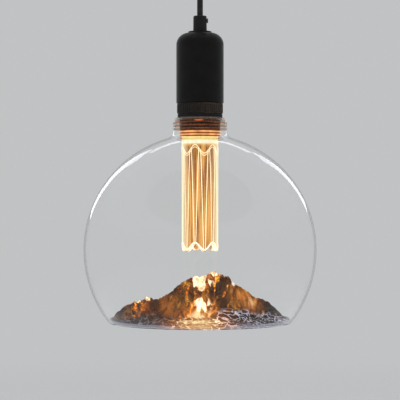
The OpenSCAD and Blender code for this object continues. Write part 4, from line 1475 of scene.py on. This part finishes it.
@dataclass
class LightGuide:
    """The clear tube, lit from its top edge, with engraved lines and a wavy end."""

    paints: Paintbox
    wall: float = 3.0 * MM
    waves: int = 6
    wave_height: float = 6.1 * MM
    wave_turn: float = 14.0
    line_radius: float = 0.42 * MM
    line_ease: float = 0.85
    line_end: float = 0.9 * MM
    grooves: tuple[Groove, ...] = (Groove(12.2, 2.6, 0.25 * MM, 1.0), Groove(14.6, 9.5, 1.9 * MM, 0.62))
    rim: tuple[Bead, ...] = (
        Bead(0.72 * MM, 0.75 * MM, 0.78 * MM),
        Bead(1.5 * MM, 0.75 * MM, 0.78 * MM),
        Bead(2.28 * MM, 0.75 * MM, 0.78 * MM),
        Bead(0.55 * MM, 1.7 * MM, 0.72 * MM),
    )
    top_band: float = 9.6 * MM
    top_wave: float = 3.6 * MM
    skin: float = 0.12 * MM
    sunk: float = 0.1 * MM
    extent: Extent = field(init=False)
    collar_end: float = field(init=False)

    def __post_init__(self) -> None:
        """Reads the tube's extent and the height of the collar's lower end."""
        self.extent = Extent.of("light_guide")
        self.collar_end = Extent.of("ring_collar").bottom

    def phase(self, angle: float) -> float:
        """Phase of both waves at an angle."""
        return self.waves * (angle + math.radians(90 - self.wave_turn))

    def edge(self, angle: float) -> float:
        """Height of the wavy lower edge at an angle."""
        return self.extent.bottom + self.wave_height / 2 * (1 - math.cos(self.phase(angle)))

    def upper_line(self, angle: float) -> float:
        """Height of the engraved wave near the top at an angle."""
        return self.collar_end - self.top_band - self.top_wave * math.cos(self.phase(angle))

    def build(self) -> None:
        """Builds the wall, its bright edge and its lines, and dresses the light source."""
        self.build_wall()
        self.build_rim()
        self.build_lines()
        self.build_top_waves()
        keep = self.paints.keep
        keep(TURNED_METAL, "heat_sink")
        keep(WHITE_MASK, "led_board")
        keep(PHOSPHOR, "led_chips")
        keep(SILICONE, "guide_gasket")

    def build_wall(self) -> None:
        """The tube's wall, down to its wavy edge."""
        r, top = self.extent.radius, self.extent.top
        steps, rows = 240, 24
        points, faces = [], []
        for radius, down in ((r, True), (r - self.wall, False)):
            for row in range(rows + 1):
                share = row / rows if down else 1 - row / rows
                for k in range(steps):
                    angle = 2 * math.pi * k / steps
                    z = top + (self.edge(angle) - top) * share
                    points.append((radius * math.cos(angle), radius * math.sin(angle), z))
        rings = 2 * (rows + 1)
        for ring in range(rings):
            for k in range(steps):
                n = (k + 1) % steps
                a, b = ring * steps, (ring + 1) % rings * steps
                faces.append((a + k, a + n, b + n, b + k))
        wall = mesh_piece("light_guide_wall", points, faces)
        crisp(wall)
        self.paints.place(wall, GUIDE_WALL, Body.BULB, "light_guide")

    def around(self, height: Callable[[float], float], radius: float, thick: float) -> tuple[list, list]:
        """A closed tube round the guide.

        Args:
            height: Gives the tube's height from an angle.
            radius: How far from the axis it runs.
            thick: The tube's own radius.

        Returns:
            The points and the faces.
        """
        steps = 288
        angles = 2 * math.pi * np.arange(steps) / steps
        route = np.array([(radius * math.cos(a), radius * math.sin(a), height(a)) for a in angles])
        outward = np.column_stack([np.cos(angles), np.sin(angles), np.zeros(steps)])
        return swept_data(route, thick, 8, outward, True)

    def build_rim(self) -> None:
        """The cut lower edge, which glows brightest, with the bright line of the wall just above it."""
        r = self.extent.radius
        parts = [
            self.around(lambda a, rise=bead.rise: self.edge(a) + rise, r - bead.inset, bead.radius)
            for bead in self.rim
        ]
        self.paints.place(mesh_piece("light_guide_rim", *joined(parts)), GUIDE_EDGE, Body.BULB)

    def build_lines(self) -> None:
        """Pairs of engraved lines that close in on each other down the tube."""
        pairs = 2 * self.waves
        first = math.radians(-90 + self.wave_turn)
        parts = [
            self.line(groove, first + 2 * math.pi * pair / pairs, side)
            for pair in range(pairs) for side in (-1, 1) for groove in self.grooves
        ]
        self.paints.place(mesh_piece("light_guide_lines", *joined(parts)), GUIDE_LINE, Body.BULB)

    def line(self, groove: Groove, middle: float, side: int) -> tuple[list, list]:
        """One engraved line, from the upper wave down to the cut edge.

        Args:
            groove: Its kind.
            middle: Angle of the middle of its pair.
            side: 1 or -1, the side of the middle on which it lies.

        Returns:
            The points and the faces.
        """
        rows = 30
        radius = self.extent.radius - groove.depth
        route, outward = [], []
        for row in range(rows + 1):
            share = row / rows
            spread = groove.spread_top + (groove.spread_low - groove.spread_top) * share**self.line_ease
            angle = middle + side * math.radians(spread)
            start, end = self.upper_line(angle), self.edge(angle) + self.line_end
            height = start + (end - start) * share
            route.append((radius * math.cos(angle), radius * math.sin(angle), height))
            outward.append((math.cos(angle), math.sin(angle), 0.0))
        return swept_data(np.array(route), self.line_radius * groove.thickness, 6, np.array(outward))

    def build_top_waves(self) -> None:
        """The bright band under the collar and the two engraved waves below it."""
        collar = self.collar_end
        under, over = self.extent.radius - self.sunk, self.extent.radius + self.skin
        parts = [
            self.around(self.upper_line, under, 0.36 * MM),
            self.around(lambda a: self.upper_line(a) - 1.9 * MM, under, 0.27 * MM),
        ]
        self.paints.place(mesh_piece("light_guide_top_waves", *joined(parts)), GUIDE_LINE, Body.BULB)
        band = turned("light_guide_top_glow", rounded([
            (under, collar + 1.0 * MM, 0),
            (over, collar + 0.6 * MM, 0.1 * MM),
            (over, collar - 9.4 * MM, 0.4 * MM),
            (under, collar - 9.8 * MM, 0),
        ]), 160)
        self.paints.place(band, TopGlowFinish(top=collar, foot=collar - 9.5 * MM), Body.BULB)


@dataclass
class Neck:
    """The ringed collar inside the glass neck."""

    paints: Paintbox
    wall: float = 1.2 * MM
    ring_out: float = 0.6 * MM
    ring_pitch: float = 2.8 * MM
    rings: int = 5
    first_ring: float = 3.5 * MM
    ring_share: float = 0.3
    crest_share: float = 0.45
    band: float = 1.5 * MM
    lit_end: float = 5.8 * MM
    lit_fade: float = 7.4 * MM

    def build(self) -> None:
        """Builds the collar, and dresses the cement that holds it."""
        collar = Extent.of("ring_collar")
        crest, top, low = collar.radius, collar.top, collar.bottom
        root = crest - self.ring_out
        half = self.ring_pitch * self.ring_share
        crest_half = self.crest_share * half
        corners = [(root - self.wall, top, 0), (crest, top, 0.3 * MM), (crest, top - self.band, 0.3 * MM),
                   (root, top - self.band, 0.2 * MM)]
        for i in range(self.rings):
            z = top - self.first_ring - i * self.ring_pitch
            corners += [(root, z + half, 0.15 * MM), (crest, z + crest_half, 0.3 * MM),
                        (crest, z - crest_half, 0.3 * MM), (root, z - half, 0.15 * MM)]
        corners += [(root, low, 0.3 * MM), (root - self.wall, low, 0.2 * MM)]
        # low and high bound the collar's painted glow
        copper = CopperFinish(low=low + self.lit_end, high=low + self.lit_fade, root=root + 0.25 * MM,
                              crest=crest - 0.04 * MM)
        self.paints.place(turned("ringed_collar", rounded(corners), 144), copper, Body.BULB, "ring_collar")
        self.paints.keep(CEMENT, "neck_cement")


@dataclass
class Globe:
    """The blown glass globe with its ringed neck, flare and flat base."""

    paints: Paintbox
    wall: float = 1.2 * MM
    neck_radius: float = 23.0 * MM
    neck_height: float = 10.6 * MM
    neck_round: float = 3.0 * MM
    lip: float = 18.7 * MM
    flare: float = 7.0 * MM
    base_radius: float = 78.3 * MM
    base_round: float = 0.6 * MM
    rim: float = 4.0 * MM
    neck_rings: int = 3
    ring_out: float = 0.4 * MM

    def build(self) -> None:
        """Builds the glass, inside and outside."""
        globe = Extent.of("glass_globe")
        radius = globe.radius
        neck_top, base = globe.top, globe.bottom
        flare_z = neck_top - self.neck_height
        flare_x = self.neck_radius + self.flare
        centre = (0.0, base + math.sqrt(radius**2 - self.base_radius**2))
        flare_angle = math.degrees(math.acos(flare_x / (radius + self.flare)))
        inner = radius - self.wall
        drop = centre[1] - base
        low = -math.degrees(math.asin(drop / radius))
        low_inner = -math.degrees(math.asin((drop - self.wall) / inner))
        neck_corner = (self.neck_radius - self.neck_round, neck_top - self.neck_round)
        flare = (flare_x, flare_z)
        round_steps, flare_steps, globe_steps = 10, 18, 110
        outline = (
            [(self.lip, neck_top)]
            + arc(neck_corner, self.neck_round, 90, 0, round_steps)
            + self.neck(neck_top, flare_z, 0.0)
            + arc(flare, self.flare, 180, 180 + flare_angle, flare_steps)
            + arc(centre, radius, flare_angle, low, globe_steps)[1:]
            + [(self.base_radius - self.base_round, base), (self.base_radius - self.rim, base)]
            + [(self.base_radius - self.rim, base + self.wall)]
            + arc(centre, inner, low_inner, flare_angle, globe_steps)
            + arc(flare, self.flare + self.wall, 180 + flare_angle, 180, flare_steps)[1:]
            + self.neck(neck_top, flare_z, self.wall)[::-1]
            + arc(neck_corner, self.neck_round - self.wall, 0, 90, round_steps)
            + [(self.lip, neck_top - self.wall)]
        )
        # neck_foot is where the glass's painted collar reflection begins
        glass = GlassFinish(neck_foot=flare_z)
        self.paints.place(turned("blown_globe", outline, 224), glass, Body.BULB, "glass_globe")

    def neck(self, top: float, foot: float, inset: float) -> list[tuple[float, float]]:
        """One side of the neck's wall, with its rings.

        Args:
            top: Height of the neck's top.
            foot: Height at which the flare starts.
            inset: How far this side lies inside the outer one.

        Returns:
            Points from the top down.
        """
        start = top - self.neck_round - 0.3 * MM
        points = []
        rows = 48
        for i in range(rows + 1):
            share = i / rows
            wave = math.sin(math.pi * self.neck_rings * share) ** 2
            z = start + (foot + 0.3 * MM - start) * share
            points.append((self.neck_radius - inset + self.ring_out * wave, z))
        return points


CREST: tuple[tuple[float, float], ...] = (
    (-0.98, 0.05), (-0.93, 0.19), (-0.86, 0.29), (-0.74, 0.39), (-0.58, 0.49), (-0.50, 0.42), (-0.42, 0.48),
    (-0.31, 0.60), (-0.26, 0.72), (-0.06, 0.90), (0.05, 0.90), (0.16, 1.00), (0.24, 0.93), (0.32, 0.90),
    (0.36, 0.79), (0.46, 0.70), (0.61, 0.48), (0.69, 0.45), (0.78, 0.36), (0.91, 0.14), (0.98, 0.03),
)
CREST_LINE: tuple[tuple[float, float], ...] = (
    (-1.0, -0.08), (-0.72, -0.04), (-0.50, 0.20), (-0.26, 0.06),
    (0.16, 0.16), (0.36, 0.02), (0.62, 0.18), (1.0, 0.06),
)


def smooth_step(start: float, end: float, value: float) -> float:
    """Rises smoothly from 0 at the start to 1 at the end."""
    t = min(1.0, max(0.0, (value - start) / (end - start)))
    return t * t * (3 - 2 * t)


@dataclass(frozen=True)
class Patch:
    """A soft-edged patch of the relief: middle and half width across, lowest and highest rise, strength."""

    middle: float
    half: float
    low: float
    high: float
    strength: float

    def share(self, x: float, rise: float) -> float:
        """How much a spot lies in the patch.

        Args:
            x: The spot's place across.
            rise: The spot's height above the flat of the base.

        Returns:
            The share, from 0 to the patch's strength.
        """
        across = (x - self.middle) / self.half
        up = (2 * rise - self.low - self.high) / (self.high - self.low)
        return self.strength * smooth_step(1.5, 0.7, math.hypot(across, up))


@dataclass(frozen=True)
class Glow:
    """Painted light in the relief: its middle across, in depth and in height, its reach in each, and its
    power.
    """

    x: float
    y: float
    rise: float
    width: float
    depth: float
    height: float
    power: float

    def share(self, x: float, y: float, rise: float) -> float:
        """How brightly a spot is lit.

        Args:
            x: The spot's place across.
            y: The spot's place in depth.
            rise: The spot's height above the flat of the base.

        Returns:
            The share, from 0 to the light's power.
        """
        across, along = (x - self.x) / self.width, (y - self.y) / self.depth
        up = (rise - self.rise) / self.height
        return self.power * math.exp(-(across**2) - along**2 - up**2)


# Patches of painted shade on the relief's dark faces.
PAINTED_SHADE_PATCHES: tuple[Patch, ...] = (
    Patch(19.5 * MM, 6.5 * MM, 8 * MM, 33 * MM, 1.0),
    Patch(62.0 * MM, 13.0 * MM, 2 * MM, 19 * MM, 0.85),
    Patch(-38.0 * MM, 5.0 * MM, 4 * MM, 17 * MM, 0.8),
    Patch(-64.0 * MM, 9.0 * MM, 2 * MM, 10 * MM, 0.7),
    Patch(-24.0 * MM, 7.0 * MM, 2 * MM, 12 * MM, 0.75),
)
# Patches of painted highlight on the relief's lit faces.
PAINTED_HIGHLIGHT_PATCHES: tuple[Patch, ...] = (
    Patch(-0.5 * MM, 5.5 * MM, 24 * MM, 42 * MM, 0.95),
    Patch(10.0 * MM, 2.8 * MM, 28 * MM, 34 * MM, 0.9),
    Patch(11.5 * MM, 4.0 * MM, 36 * MM, 46 * MM, 0.9),
    Patch(34.0 * MM, 7.5 * MM, 27 * MM, 36 * MM, 0.75),
    Patch(56.0 * MM, 8.0 * MM, 16 * MM, 26 * MM, 0.7),
    Patch(-46.0 * MM, 2.6 * MM, 15 * MM, 24 * MM, 0.8),
    Patch(-54.0 * MM, 5.0 * MM, 14 * MM, 22 * MM, 0.55),
    Patch(3.0 * MM, 7.5 * MM, 6 * MM, 18 * MM, 0.72),
)
# Spots of painted glow, standing in for the guide's light in the glass.
GLOWS: tuple[Glow, ...] = (
    Glow(3 * MM, -14 * MM, 12 * MM, 7.5 * MM, 14 * MM, 7 * MM, 2.0),
    Glow(-1 * MM, 6 * MM, 33 * MM, 5 * MM, 14 * MM, 7 * MM, 0.7),
    Glow(10 * MM, 8 * MM, 36 * MM, 4 * MM, 14 * MM, 6 * MM, 0.6),
    Glow(0.0, -42 * MM, 1 * MM, 19 * MM, 32 * MM, 5 * MM, 2.9),
    Glow(0.0, -76 * MM, 0.0, 21 * MM, 6 * MM, 5 * MM, 1.7),
    Glow(45 * MM, 6 * MM, 13 * MM, 7 * MM, 16 * MM, 6 * MM, 0.75),
    Glow(-28 * MM, 0.0, 10 * MM, 10 * MM, 18 * MM, 8 * MM, 0.35),
    Glow(32 * MM, 4 * MM, 22 * MM, 9 * MM, 16 * MM, 8 * MM, 0.4),
)


@dataclass
class Mountain:
    """The golden glass relief that rises from the globe's base, with a flat lake in front of it."""

    paints: Paintbox
    peak: float = 43.0 * MM
    thickness: float = 2.0 * MM
    flank_front: float = 1.5
    flank_back: float = 0.9
    spur: float = 4.2 * MM
    spur_pitch: float = 17.0 * MM
    spur_start: float = 9.0 * MM
    spur_run: float = 28.6 * MM
    spur_shift: float = 9.0 * MM
    rim_width: float = 3.0 * MM
    rim_slope: float = 4.0
    grid: float = 1.7 * MM
    jitter: float = 0.24
    seed: int = 11
    rim_steps: int = 250
    crease: float = 42.0
    crag: float = 3.0 * MM
    crag_pitch: float = 17 * MM
    crag_place: Place = (0.4, 0.0, 3.7)
    ripple: float = 0.9 * MM
    ripple_pitch: tuple[float, float] = (9 * MM, 20 * MM)
    radius: float = field(init=False)
    foot: float = field(init=False)

    def __post_init__(self) -> None:
        """Reads the relief's extent."""
        extent = Extent.of("mountain_base")
        self.radius = extent.radius
        self.foot = extent.bottom

    def outline_height(self, x: float, y: float) -> float:
        """Height of the plain relief over a point of the base.

        Args:
            x: The point's place across.
            y: The point's place in depth.

        Returns:
            The height, below nought where the relief hasn't risen yet.
        """
        crest_x, crest_h = zip(*CREST)
        away = self.behind_crest(x, y)
        flank = self.flank_front if away < 0 else self.flank_back
        reach = min(1.0, abs(away) / self.spur_start)
        u = (x - self.spur_shift) / self.spur_pitch + abs(away) / self.spur_run
        zigzag = 4 * abs(u - math.floor(u) - 0.5) - 1
        crest = self.peak * float(np.interp(x / self.radius, crest_x, crest_h)) - self.thickness
        return crest - flank * abs(away) + self.spur * reach * (zigzag - 1)

    def height(self, x: float, y: float) -> float:
        """Height of the craggy relief over a point of the base.

        Args:
            x: The point's place across.
            y: The point's place in depth.

        Returns:
            The height above the flat of the base.
        """
        plain = self.outline_height(x, y)
        spot = Vector((x, y, 0.0)) / self.crag_pitch + Vector(self.crag_place)
        crags = noise.ridged_multi_fractal(spot, 1.0, 2.1, 3, 0.9, 1.9) - 1.1
        small = noise.noise(spot * 4.1)
        strength = min(1.0, max(0.0, plain + 3 * MM) / (12 * MM))
        wave = Vector((x / self.ripple_pitch[0], y / self.ripple_pitch[1], 1.3))
        lake = self.ripple * max(0.0, noise.ridged_multi_fractal(wave, 1.0, 2.0, 2, 0.9, 1.8) - 0.8)
        lift = self.crag * (0.6 * crags + 0.22 * small) * strength * self.crest_calm(x, y)
        limit = (self.radius - self.rim_width - math.hypot(x, y)) * self.rim_slope
        return max(0.0, min(max(plain + lift, lake), limit))

    def behind_crest(self, x: float, y: float) -> float:
        """How far a spot lies behind the crest line, or in front of it where it is below nought."""
        line_x, line_y = zip(*CREST_LINE)
        return y - self.radius * float(np.interp(x / self.radius, line_x, line_y))

    def crest_calm(self, x: float, y: float) -> float:
        """Share of the crags that a spot keeps: less on the crest, so that its outline stays."""
        return 0.3 + 0.7 * smooth_step(1.0 * MM, 7.0 * MM, abs(self.behind_crest(x, y)))

    def spots(self) -> list[tuple[float, float]]:
        """Spreads points over the base: slightly uneven rows, and closed rings at the rim.

        Returns:
            Each point's place across and in depth.
        """
        spread: list[tuple[float, float]] = []
        row_share = 0.866
        rows = int(self.radius / (self.grid * row_share)) + 1
        inner = self.radius - self.rim_width
        random = np.random.default_rng(self.seed)
        for row in range(-rows, rows + 1):
            for column in range(-rows, rows + 1):
                shift = random.uniform(-self.jitter, self.jitter, 2) * self.grid
                x = (column + 0.5 * (row % 2)) * self.grid + shift[0]
                y = row * self.grid * row_share + shift[1]
                if math.hypot(x, y) < inner - 0.6 * self.grid:
                    spread.append((x, y))
        angles = [2 * math.pi * k / self.rim_steps for k in range(self.rim_steps)]
        for ring in (inner, (inner + self.radius) / 2, self.radius):
            spread += [(ring * math.cos(angle), ring * math.sin(angle)) for angle in angles]
        return spread

    def build(self) -> None:
        """Builds the relief as a closed sheet that carries its masks."""
        flat = self.spots()
        made = geometry.delaunay_2d_cdt([Vector(p) for p in flat], [], [], 0, 1e-9)
        spots, triangles = [tuple(v) for v in made[0]], made[2]
        count = len(spots)
        heights = np.array([self.height(x, y) for x, y in spots])
        upper = [(x, y, self.foot + self.thickness + h) for (x, y), h in zip(spots, heights)]
        lower = [(x, y, self.foot + h) for (x, y), h in zip(spots, heights)]
        faces = [tuple(f) for f in triangles] + [tuple(count + i for i in reversed(f)) for f in triangles]
        rim = sorted(
            (i for i, (x, y) in enumerate(spots) if math.hypot(x, y) > self.radius - 0.01 * MM),
            key=lambda i: math.atan2(spots[i][1], spots[i][0]),
        )
        for i, a in enumerate(rim):
            b = rim[(i + 1) % len(rim)]
            faces.append((a, count + a, count + b, b))
        relief = mesh_piece("gilded_mountain", upper + lower, faces)
        crisp(relief, self.crease)
        self.add_masks(relief)
        self.paints.place(relief, GILDED_GLASS, Body.BULB, "mountain_base")

    def masks(self, x: float, y: float, rise: float) -> dict[str, float]:
        """What each mask of the finish is at a point of the relief.

        Args:
            x: The point's place across.
            y: The point's place in depth.
            rise: The point's height above the flat of the base.

        Returns:
            Each mask's value by name.
        """
        lift = (rise - max(0.0, self.outline_height(x, y))) / self.crag
        front = 0.3 + 0.7 * smooth_step(8.0 * MM, 2.0 * MM, self.behind_crest(x, y))
        shore = 6.0 * MM * smooth_step(6.0 * MM, 16.0 * MM, x) * smooth_step(10.0 * MM, -4.0 * MM, y)
        front_glow = math.exp(-(((x - 2 * MM) / (15 * MM)) ** 2)) * smooth_step(0.0, -20.0 * MM, y)
        right, left = smooth_step(2.0 * MM, 14.0 * MM, x), smooth_step(-30.0 * MM, -50.0 * MM, x)
        edge = smooth_step(self.radius - 1.4 * MM, self.radius - 0.6 * MM, math.hypot(x, y))
        painted_shade_share = max(patch.share(x, rise) for patch in PAINTED_SHADE_PATCHES)
        painted_highlight_share = max(patch.share(x, rise) for patch in PAINTED_HIGHLIGHT_PATCHES)
        return {
            # painted shade where the crags dip and in the gullies
            "hollow": max(0.55 * smooth_step(0.0, -0.6, lift), painted_shade_share),
            # painted highlight where the crags rise and on lit faces
            "crest": max(0.33 * smooth_step(0.35, 0.9, lift), front * painted_highlight_share),
            "lake": smooth_step(shore + 2.6 * MM, shore + 1.0 * MM, rise),
            # how strong the lake's painted reflection is
            "sheen": (0.24 + 0.76 * right + 0.2 * left) * (1 - 0.85 * front_glow),
            # painted highlight: a pale line along the base's edge
            "rim": 0.5 * edge * smooth_step(14.0 * MM, 26.0 * MM, abs(x - 1.0 * MM)),
            # painted glow
            "glow": sum(glow.share(x, y, rise) for glow in GLOWS),
        }

    def add_masks(self, relief: bpy.types.Object) -> None:
        """Stores the finish's masks in the relief's points.

        Args:
            relief: The relief's piece.
        """
        points = [vertex.co for vertex in relief.data.vertices]
        found = [self.masks(x, y, z - self.foot - self.thickness) for x, y, z in points]
        for name in found[0]:
            layer = relief.data.attributes.new(name, "FLOAT", "POINT")
            layer.data.foreach_set("value", [values[name] for values in found])


# Studio


@dataclass
class Studio:
    """A pale floor that sweeps up all round, soft lamps and the camera."""

    floor_z: float = -0.60
    floor_radius: float = 2.2
    sweep: float = 0.9
    wall_top: float = 0.7
    shadow_reach: float = 0.5
    level: float = 0.72
    fill: float = 0.4
    centre_z: float = -0.25
    camera_distance: float = 1.25
    horizon_y: float = 203.0
    pixel: float = 0.86 * MM
    origin_y: float = 77.0
    focal_px: float = 1452.0
    frame_px: float = 400.0
    sensor: float = 36.0
    paper: Colour = (0.74, 0.75, 0.76)
    sky: Colour = (0.97, 0.98, 1.0)
    floor_rings: tuple[float, ...] = (0.1, 0.6, 1.4)
    boxes: tuple[tuple[str, Place, float, float], ...] = (
        ("left_box", (-1.3, -0.9, 0.25), 1.2, 13.0),
        ("right_box", (1.3, -0.7, 0.3), 1.2, 11.0),
        ("top_box", (0.0, 0.2, 1.3), 1.6, 15.0),
    )
    strip_tint: Colour = (0.93, 0.93, 1.0)
    strips: tuple[tuple[str, Place, tuple[float, float], float], ...] = (
        ("left_strip", (-0.62, 1.25, 0.26), (0.26, 0.8), 1.7),
        ("right_strip", (0.66, 1.22, 0.3), (0.24, 0.74), 1.4),
        ("high_strip", (0.0, 1.0, 0.66), (1.0, 0.13), 1.1),
    )
    warm_tint: Colour = (1.0, 0.68, 0.38)
    warm_size: float = 9 * MM
    band_lamp: tuple[str, Place, float] = ("band_glow", (0.034, -0.044, -0.124), 0.12)
    warm_lamps: tuple[tuple[str, Place, float], ...] = (
        ("guide_glow_front", (-0.006, -0.034, -0.287), 0.07),
        ("guide_glow_back", (0.0, 0.034, -0.289), 0.05),
    )

    def build(self) -> None:
        """Builds the camera, the backdrop and the light."""
        self.build_camera()
        self.build_backdrop()
        self.build_world()
        for box in self.boxes:
            self.soft_box(*box)

    def streak(self, glass: bpy.types.Object) -> None:
        """Hangs narrow soft boxes behind the object that the glass alone reflects.

        Args:
            glass: The piece that reflects them.
        """
        lit = bpy.data.collections.new("lit_by_the_strips")
        lit.objects.link(glass)
        for name, place, (width, height), power in self.strips:
            light = bpy.data.lights.new(name, "AREA")
            light.shape = "RECTANGLE"
            light.size, light.size_y = width, height
            light.energy = power
            light.color = self.strip_tint
            lamp = self.hang(light, place)
            self.aim(lamp)
            lamp.light_linking.receiver_collection = lit

    def warm(self, piece: bpy.types.Object, *lamps: tuple[str, Place, float]) -> None:
        """Lights one piece alone from near the light guide, warm as its own light.

        Args:
            piece: The piece that is lit.
            lamps: Each lamp's name, place and power.
        """
        lit = bpy.data.collections.new(f"{piece.name}_lit_by_the_guide")
        lit.objects.link(piece)
        for name, place, power in lamps:
            glow = bpy.data.lights.new(name, "POINT")
            glow.energy = power
            glow.color = self.warm_tint
            glow.shadow_soft_size = self.warm_size
            self.hang(glow, place).light_linking.receiver_collection = lit

    def build_camera(self) -> None:
        """A level camera in front of the object, at the photograph's height and distance."""
        data = bpy.data.cameras.new("camera")
        data.sensor_width = self.sensor
        data.lens = self.sensor * self.focal_px / self.frame_px
        data.shift_y = (self.horizon_y - self.frame_px / 2) / self.frame_px
        camera = bpy.data.objects.new("camera", data)
        camera.location = (0.0, -self.camera_distance, -(self.horizon_y + self.origin_y) * self.pixel)
        camera.rotation_euler = (math.radians(90), 0, 0)
        bpy.context.scene.collection.objects.link(camera)
        bpy.context.scene.camera = camera

    def build_backdrop(self) -> None:
        """One round sheet: floor, sweep and low wall."""
        foot = self.floor_radius
        side = [(r, self.floor_z) for r in (*self.floor_rings, foot)]
        side += [(foot + self.sweep * math.sin(a), self.floor_z + self.sweep * (1 - math.cos(a)))
                 for a in np.radians(np.linspace(5, 90, 18))]
        side.append((foot + self.sweep, self.wall_top))
        steps = 96
        angles = [2 * math.pi * k / steps for k in range(steps)]
        points = [(r * math.cos(angle), r * math.sin(angle), z) for r, z in side for angle in angles]
        faces = [tuple(range(steps))]
        for ring in range(0, (len(side) - 1) * steps, steps):
            for k in range(steps):
                after = (k + 1) % steps
                faces.append((ring + k, ring + after, ring + steps + after, ring + steps + k))
        backdrop = mesh_piece("backdrop", points, faces)
        if backdrop.data.polygons[0].normal.z < 0:
            backdrop.data.flip_normals()
        backdrop.data.materials.append(self.backdrop_paper())

    def backdrop_paper(self) -> bpy.types.Material:
        """Pale paper that keeps the shadow near the object, is even further out, and clear from outside.

        Returns:
            The new material.
        """
        material, graph, output = blank_material("backdrop_paper")
        away = graph.length(graph.vector("MULTIPLY", graph.spot(), (1.0, 1.0, 0.0)))
        far = graph.between(away, self.shadow_reach, self.floor_radius)
        even = graph.sum("MULTIPLY", self.seen(graph), far)
        lit = graph.add("ShaderNodeBsdfPrincipled", {"Base Color": self.paper, "Roughness": 0.9})
        plain = graph.add("ShaderNodeEmission", {"Color": self.paper, "Strength": self.level})
        inside = graph.add("ShaderNodeMixShader", {0: even, 1: lit.outputs[0], 2: plain.outputs[0]})
        clear = graph.add("ShaderNodeBsdfTransparent")
        back = graph.add("ShaderNodeNewGeometry").outputs["Backfacing"]
        sides = graph.add("ShaderNodeMixShader", {0: back, 1: inside.outputs[0], 2: clear.outputs[0]})
        graph.feed(output.inputs["Surface"], sides.outputs[0])
        return material

    def seen(self, graph: Graph) -> Socket:
        """Tells what is looked at from what only lights the pieces.

        Args:
            graph: The material's or world's graph.

        Returns:
            1 for what the camera sees, straight, through glass or in gloss, and otherwise 0.
        """
        path = graph.add("ShaderNodeLightPath").outputs
        shown = graph.sum("MAXIMUM", path["Is Camera Ray"], path["Is Transmission Ray"])
        return graph.sum("MAXIMUM", shown, path["Is Glossy Ray"])

    def build_world(self) -> None:
        """An even soft light, which shows as the same paper."""
        world = bpy.data.worlds.new("surround")
        bpy.context.scene.world = world
        world.use_nodes = True
        world.node_tree.nodes.clear()
        graph = Graph(world.node_tree)
        soft = graph.add("ShaderNodeBackground", {"Color": self.sky, "Strength": self.fill})
        paper = graph.add("ShaderNodeBackground", {"Color": self.paper, "Strength": self.level})
        sides = {0: self.seen(graph), 1: soft.outputs[0], 2: paper.outputs[0]}
        mixed = graph.add("ShaderNodeMixShader", sides)
        output = graph.add("ShaderNodeOutputWorld")
        graph.feed(output.inputs["Surface"], mixed.outputs[0])

    def soft_box(self, name: str, place: Place, size: float, power: float) -> None:
        """A square soft box that faces the object.

        Args:
            name: Name of the lamp.
            place: Where it hangs.
            size: Length of its side.
            power: Its power in watts.
        """
        light = bpy.data.lights.new(name, "AREA")
        light.size = size
        light.energy = power
        lamp = self.hang(light, place)
        lamp.visible_glossy = False
        self.aim(lamp)

    def aim(self, lamp: bpy.types.Object) -> None:
        """Turns a lamp to the middle of the object."""
        towards = Vector((0.0, 0.0, self.centre_z)) - lamp.location
        lamp.rotation_euler = towards.to_track_quat("-Z", "Y").to_euler()

    def hang(self, light: bpy.types.Light, place: Place) -> bpy.types.Object:
        """Puts a lamp in its place, unseen by the camera and through glass.

        Args:
            light: The lamp's light.
            place: Where it hangs.

        Returns:
            The lamp.
        """
        lamp = bpy.data.objects.new(light.name, light)
        lamp.location = place
        lamp.visible_camera = False
        lamp.visible_transmission = False
        bpy.context.scene.collection.objects.link(lamp)
        return lamp


def main() -> None:
    """Loads the frame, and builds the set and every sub-assembly."""
    logging.basicConfig(level=logging.INFO, format="%(name)s: %(message)s")
    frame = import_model()
    bpy.context.scene.view_settings.view_transform = "Standard"
    paints = Paintbox(frame["nodes"])
    studio = Studio()
    studio.build()
    Suspension(paints).build()
    for assembly in (CeilingFitting, Lampholder, Seal, ScrewCap, LightGuide, Neck, Globe, Mountain):
        assembly(paints).build()
        LOG.info("%s is built", assembly.__name__)
    studio.warm(bpy.data.objects["gilded_mountain"], *studio.warm_lamps)
    studio.warm(bpy.data.objects["ribbed_retaining_ring"], studio.band_lamp)
    studio.streak(bpy.data.objects["blown_globe"])


if __name__ == "__main__":
    main()
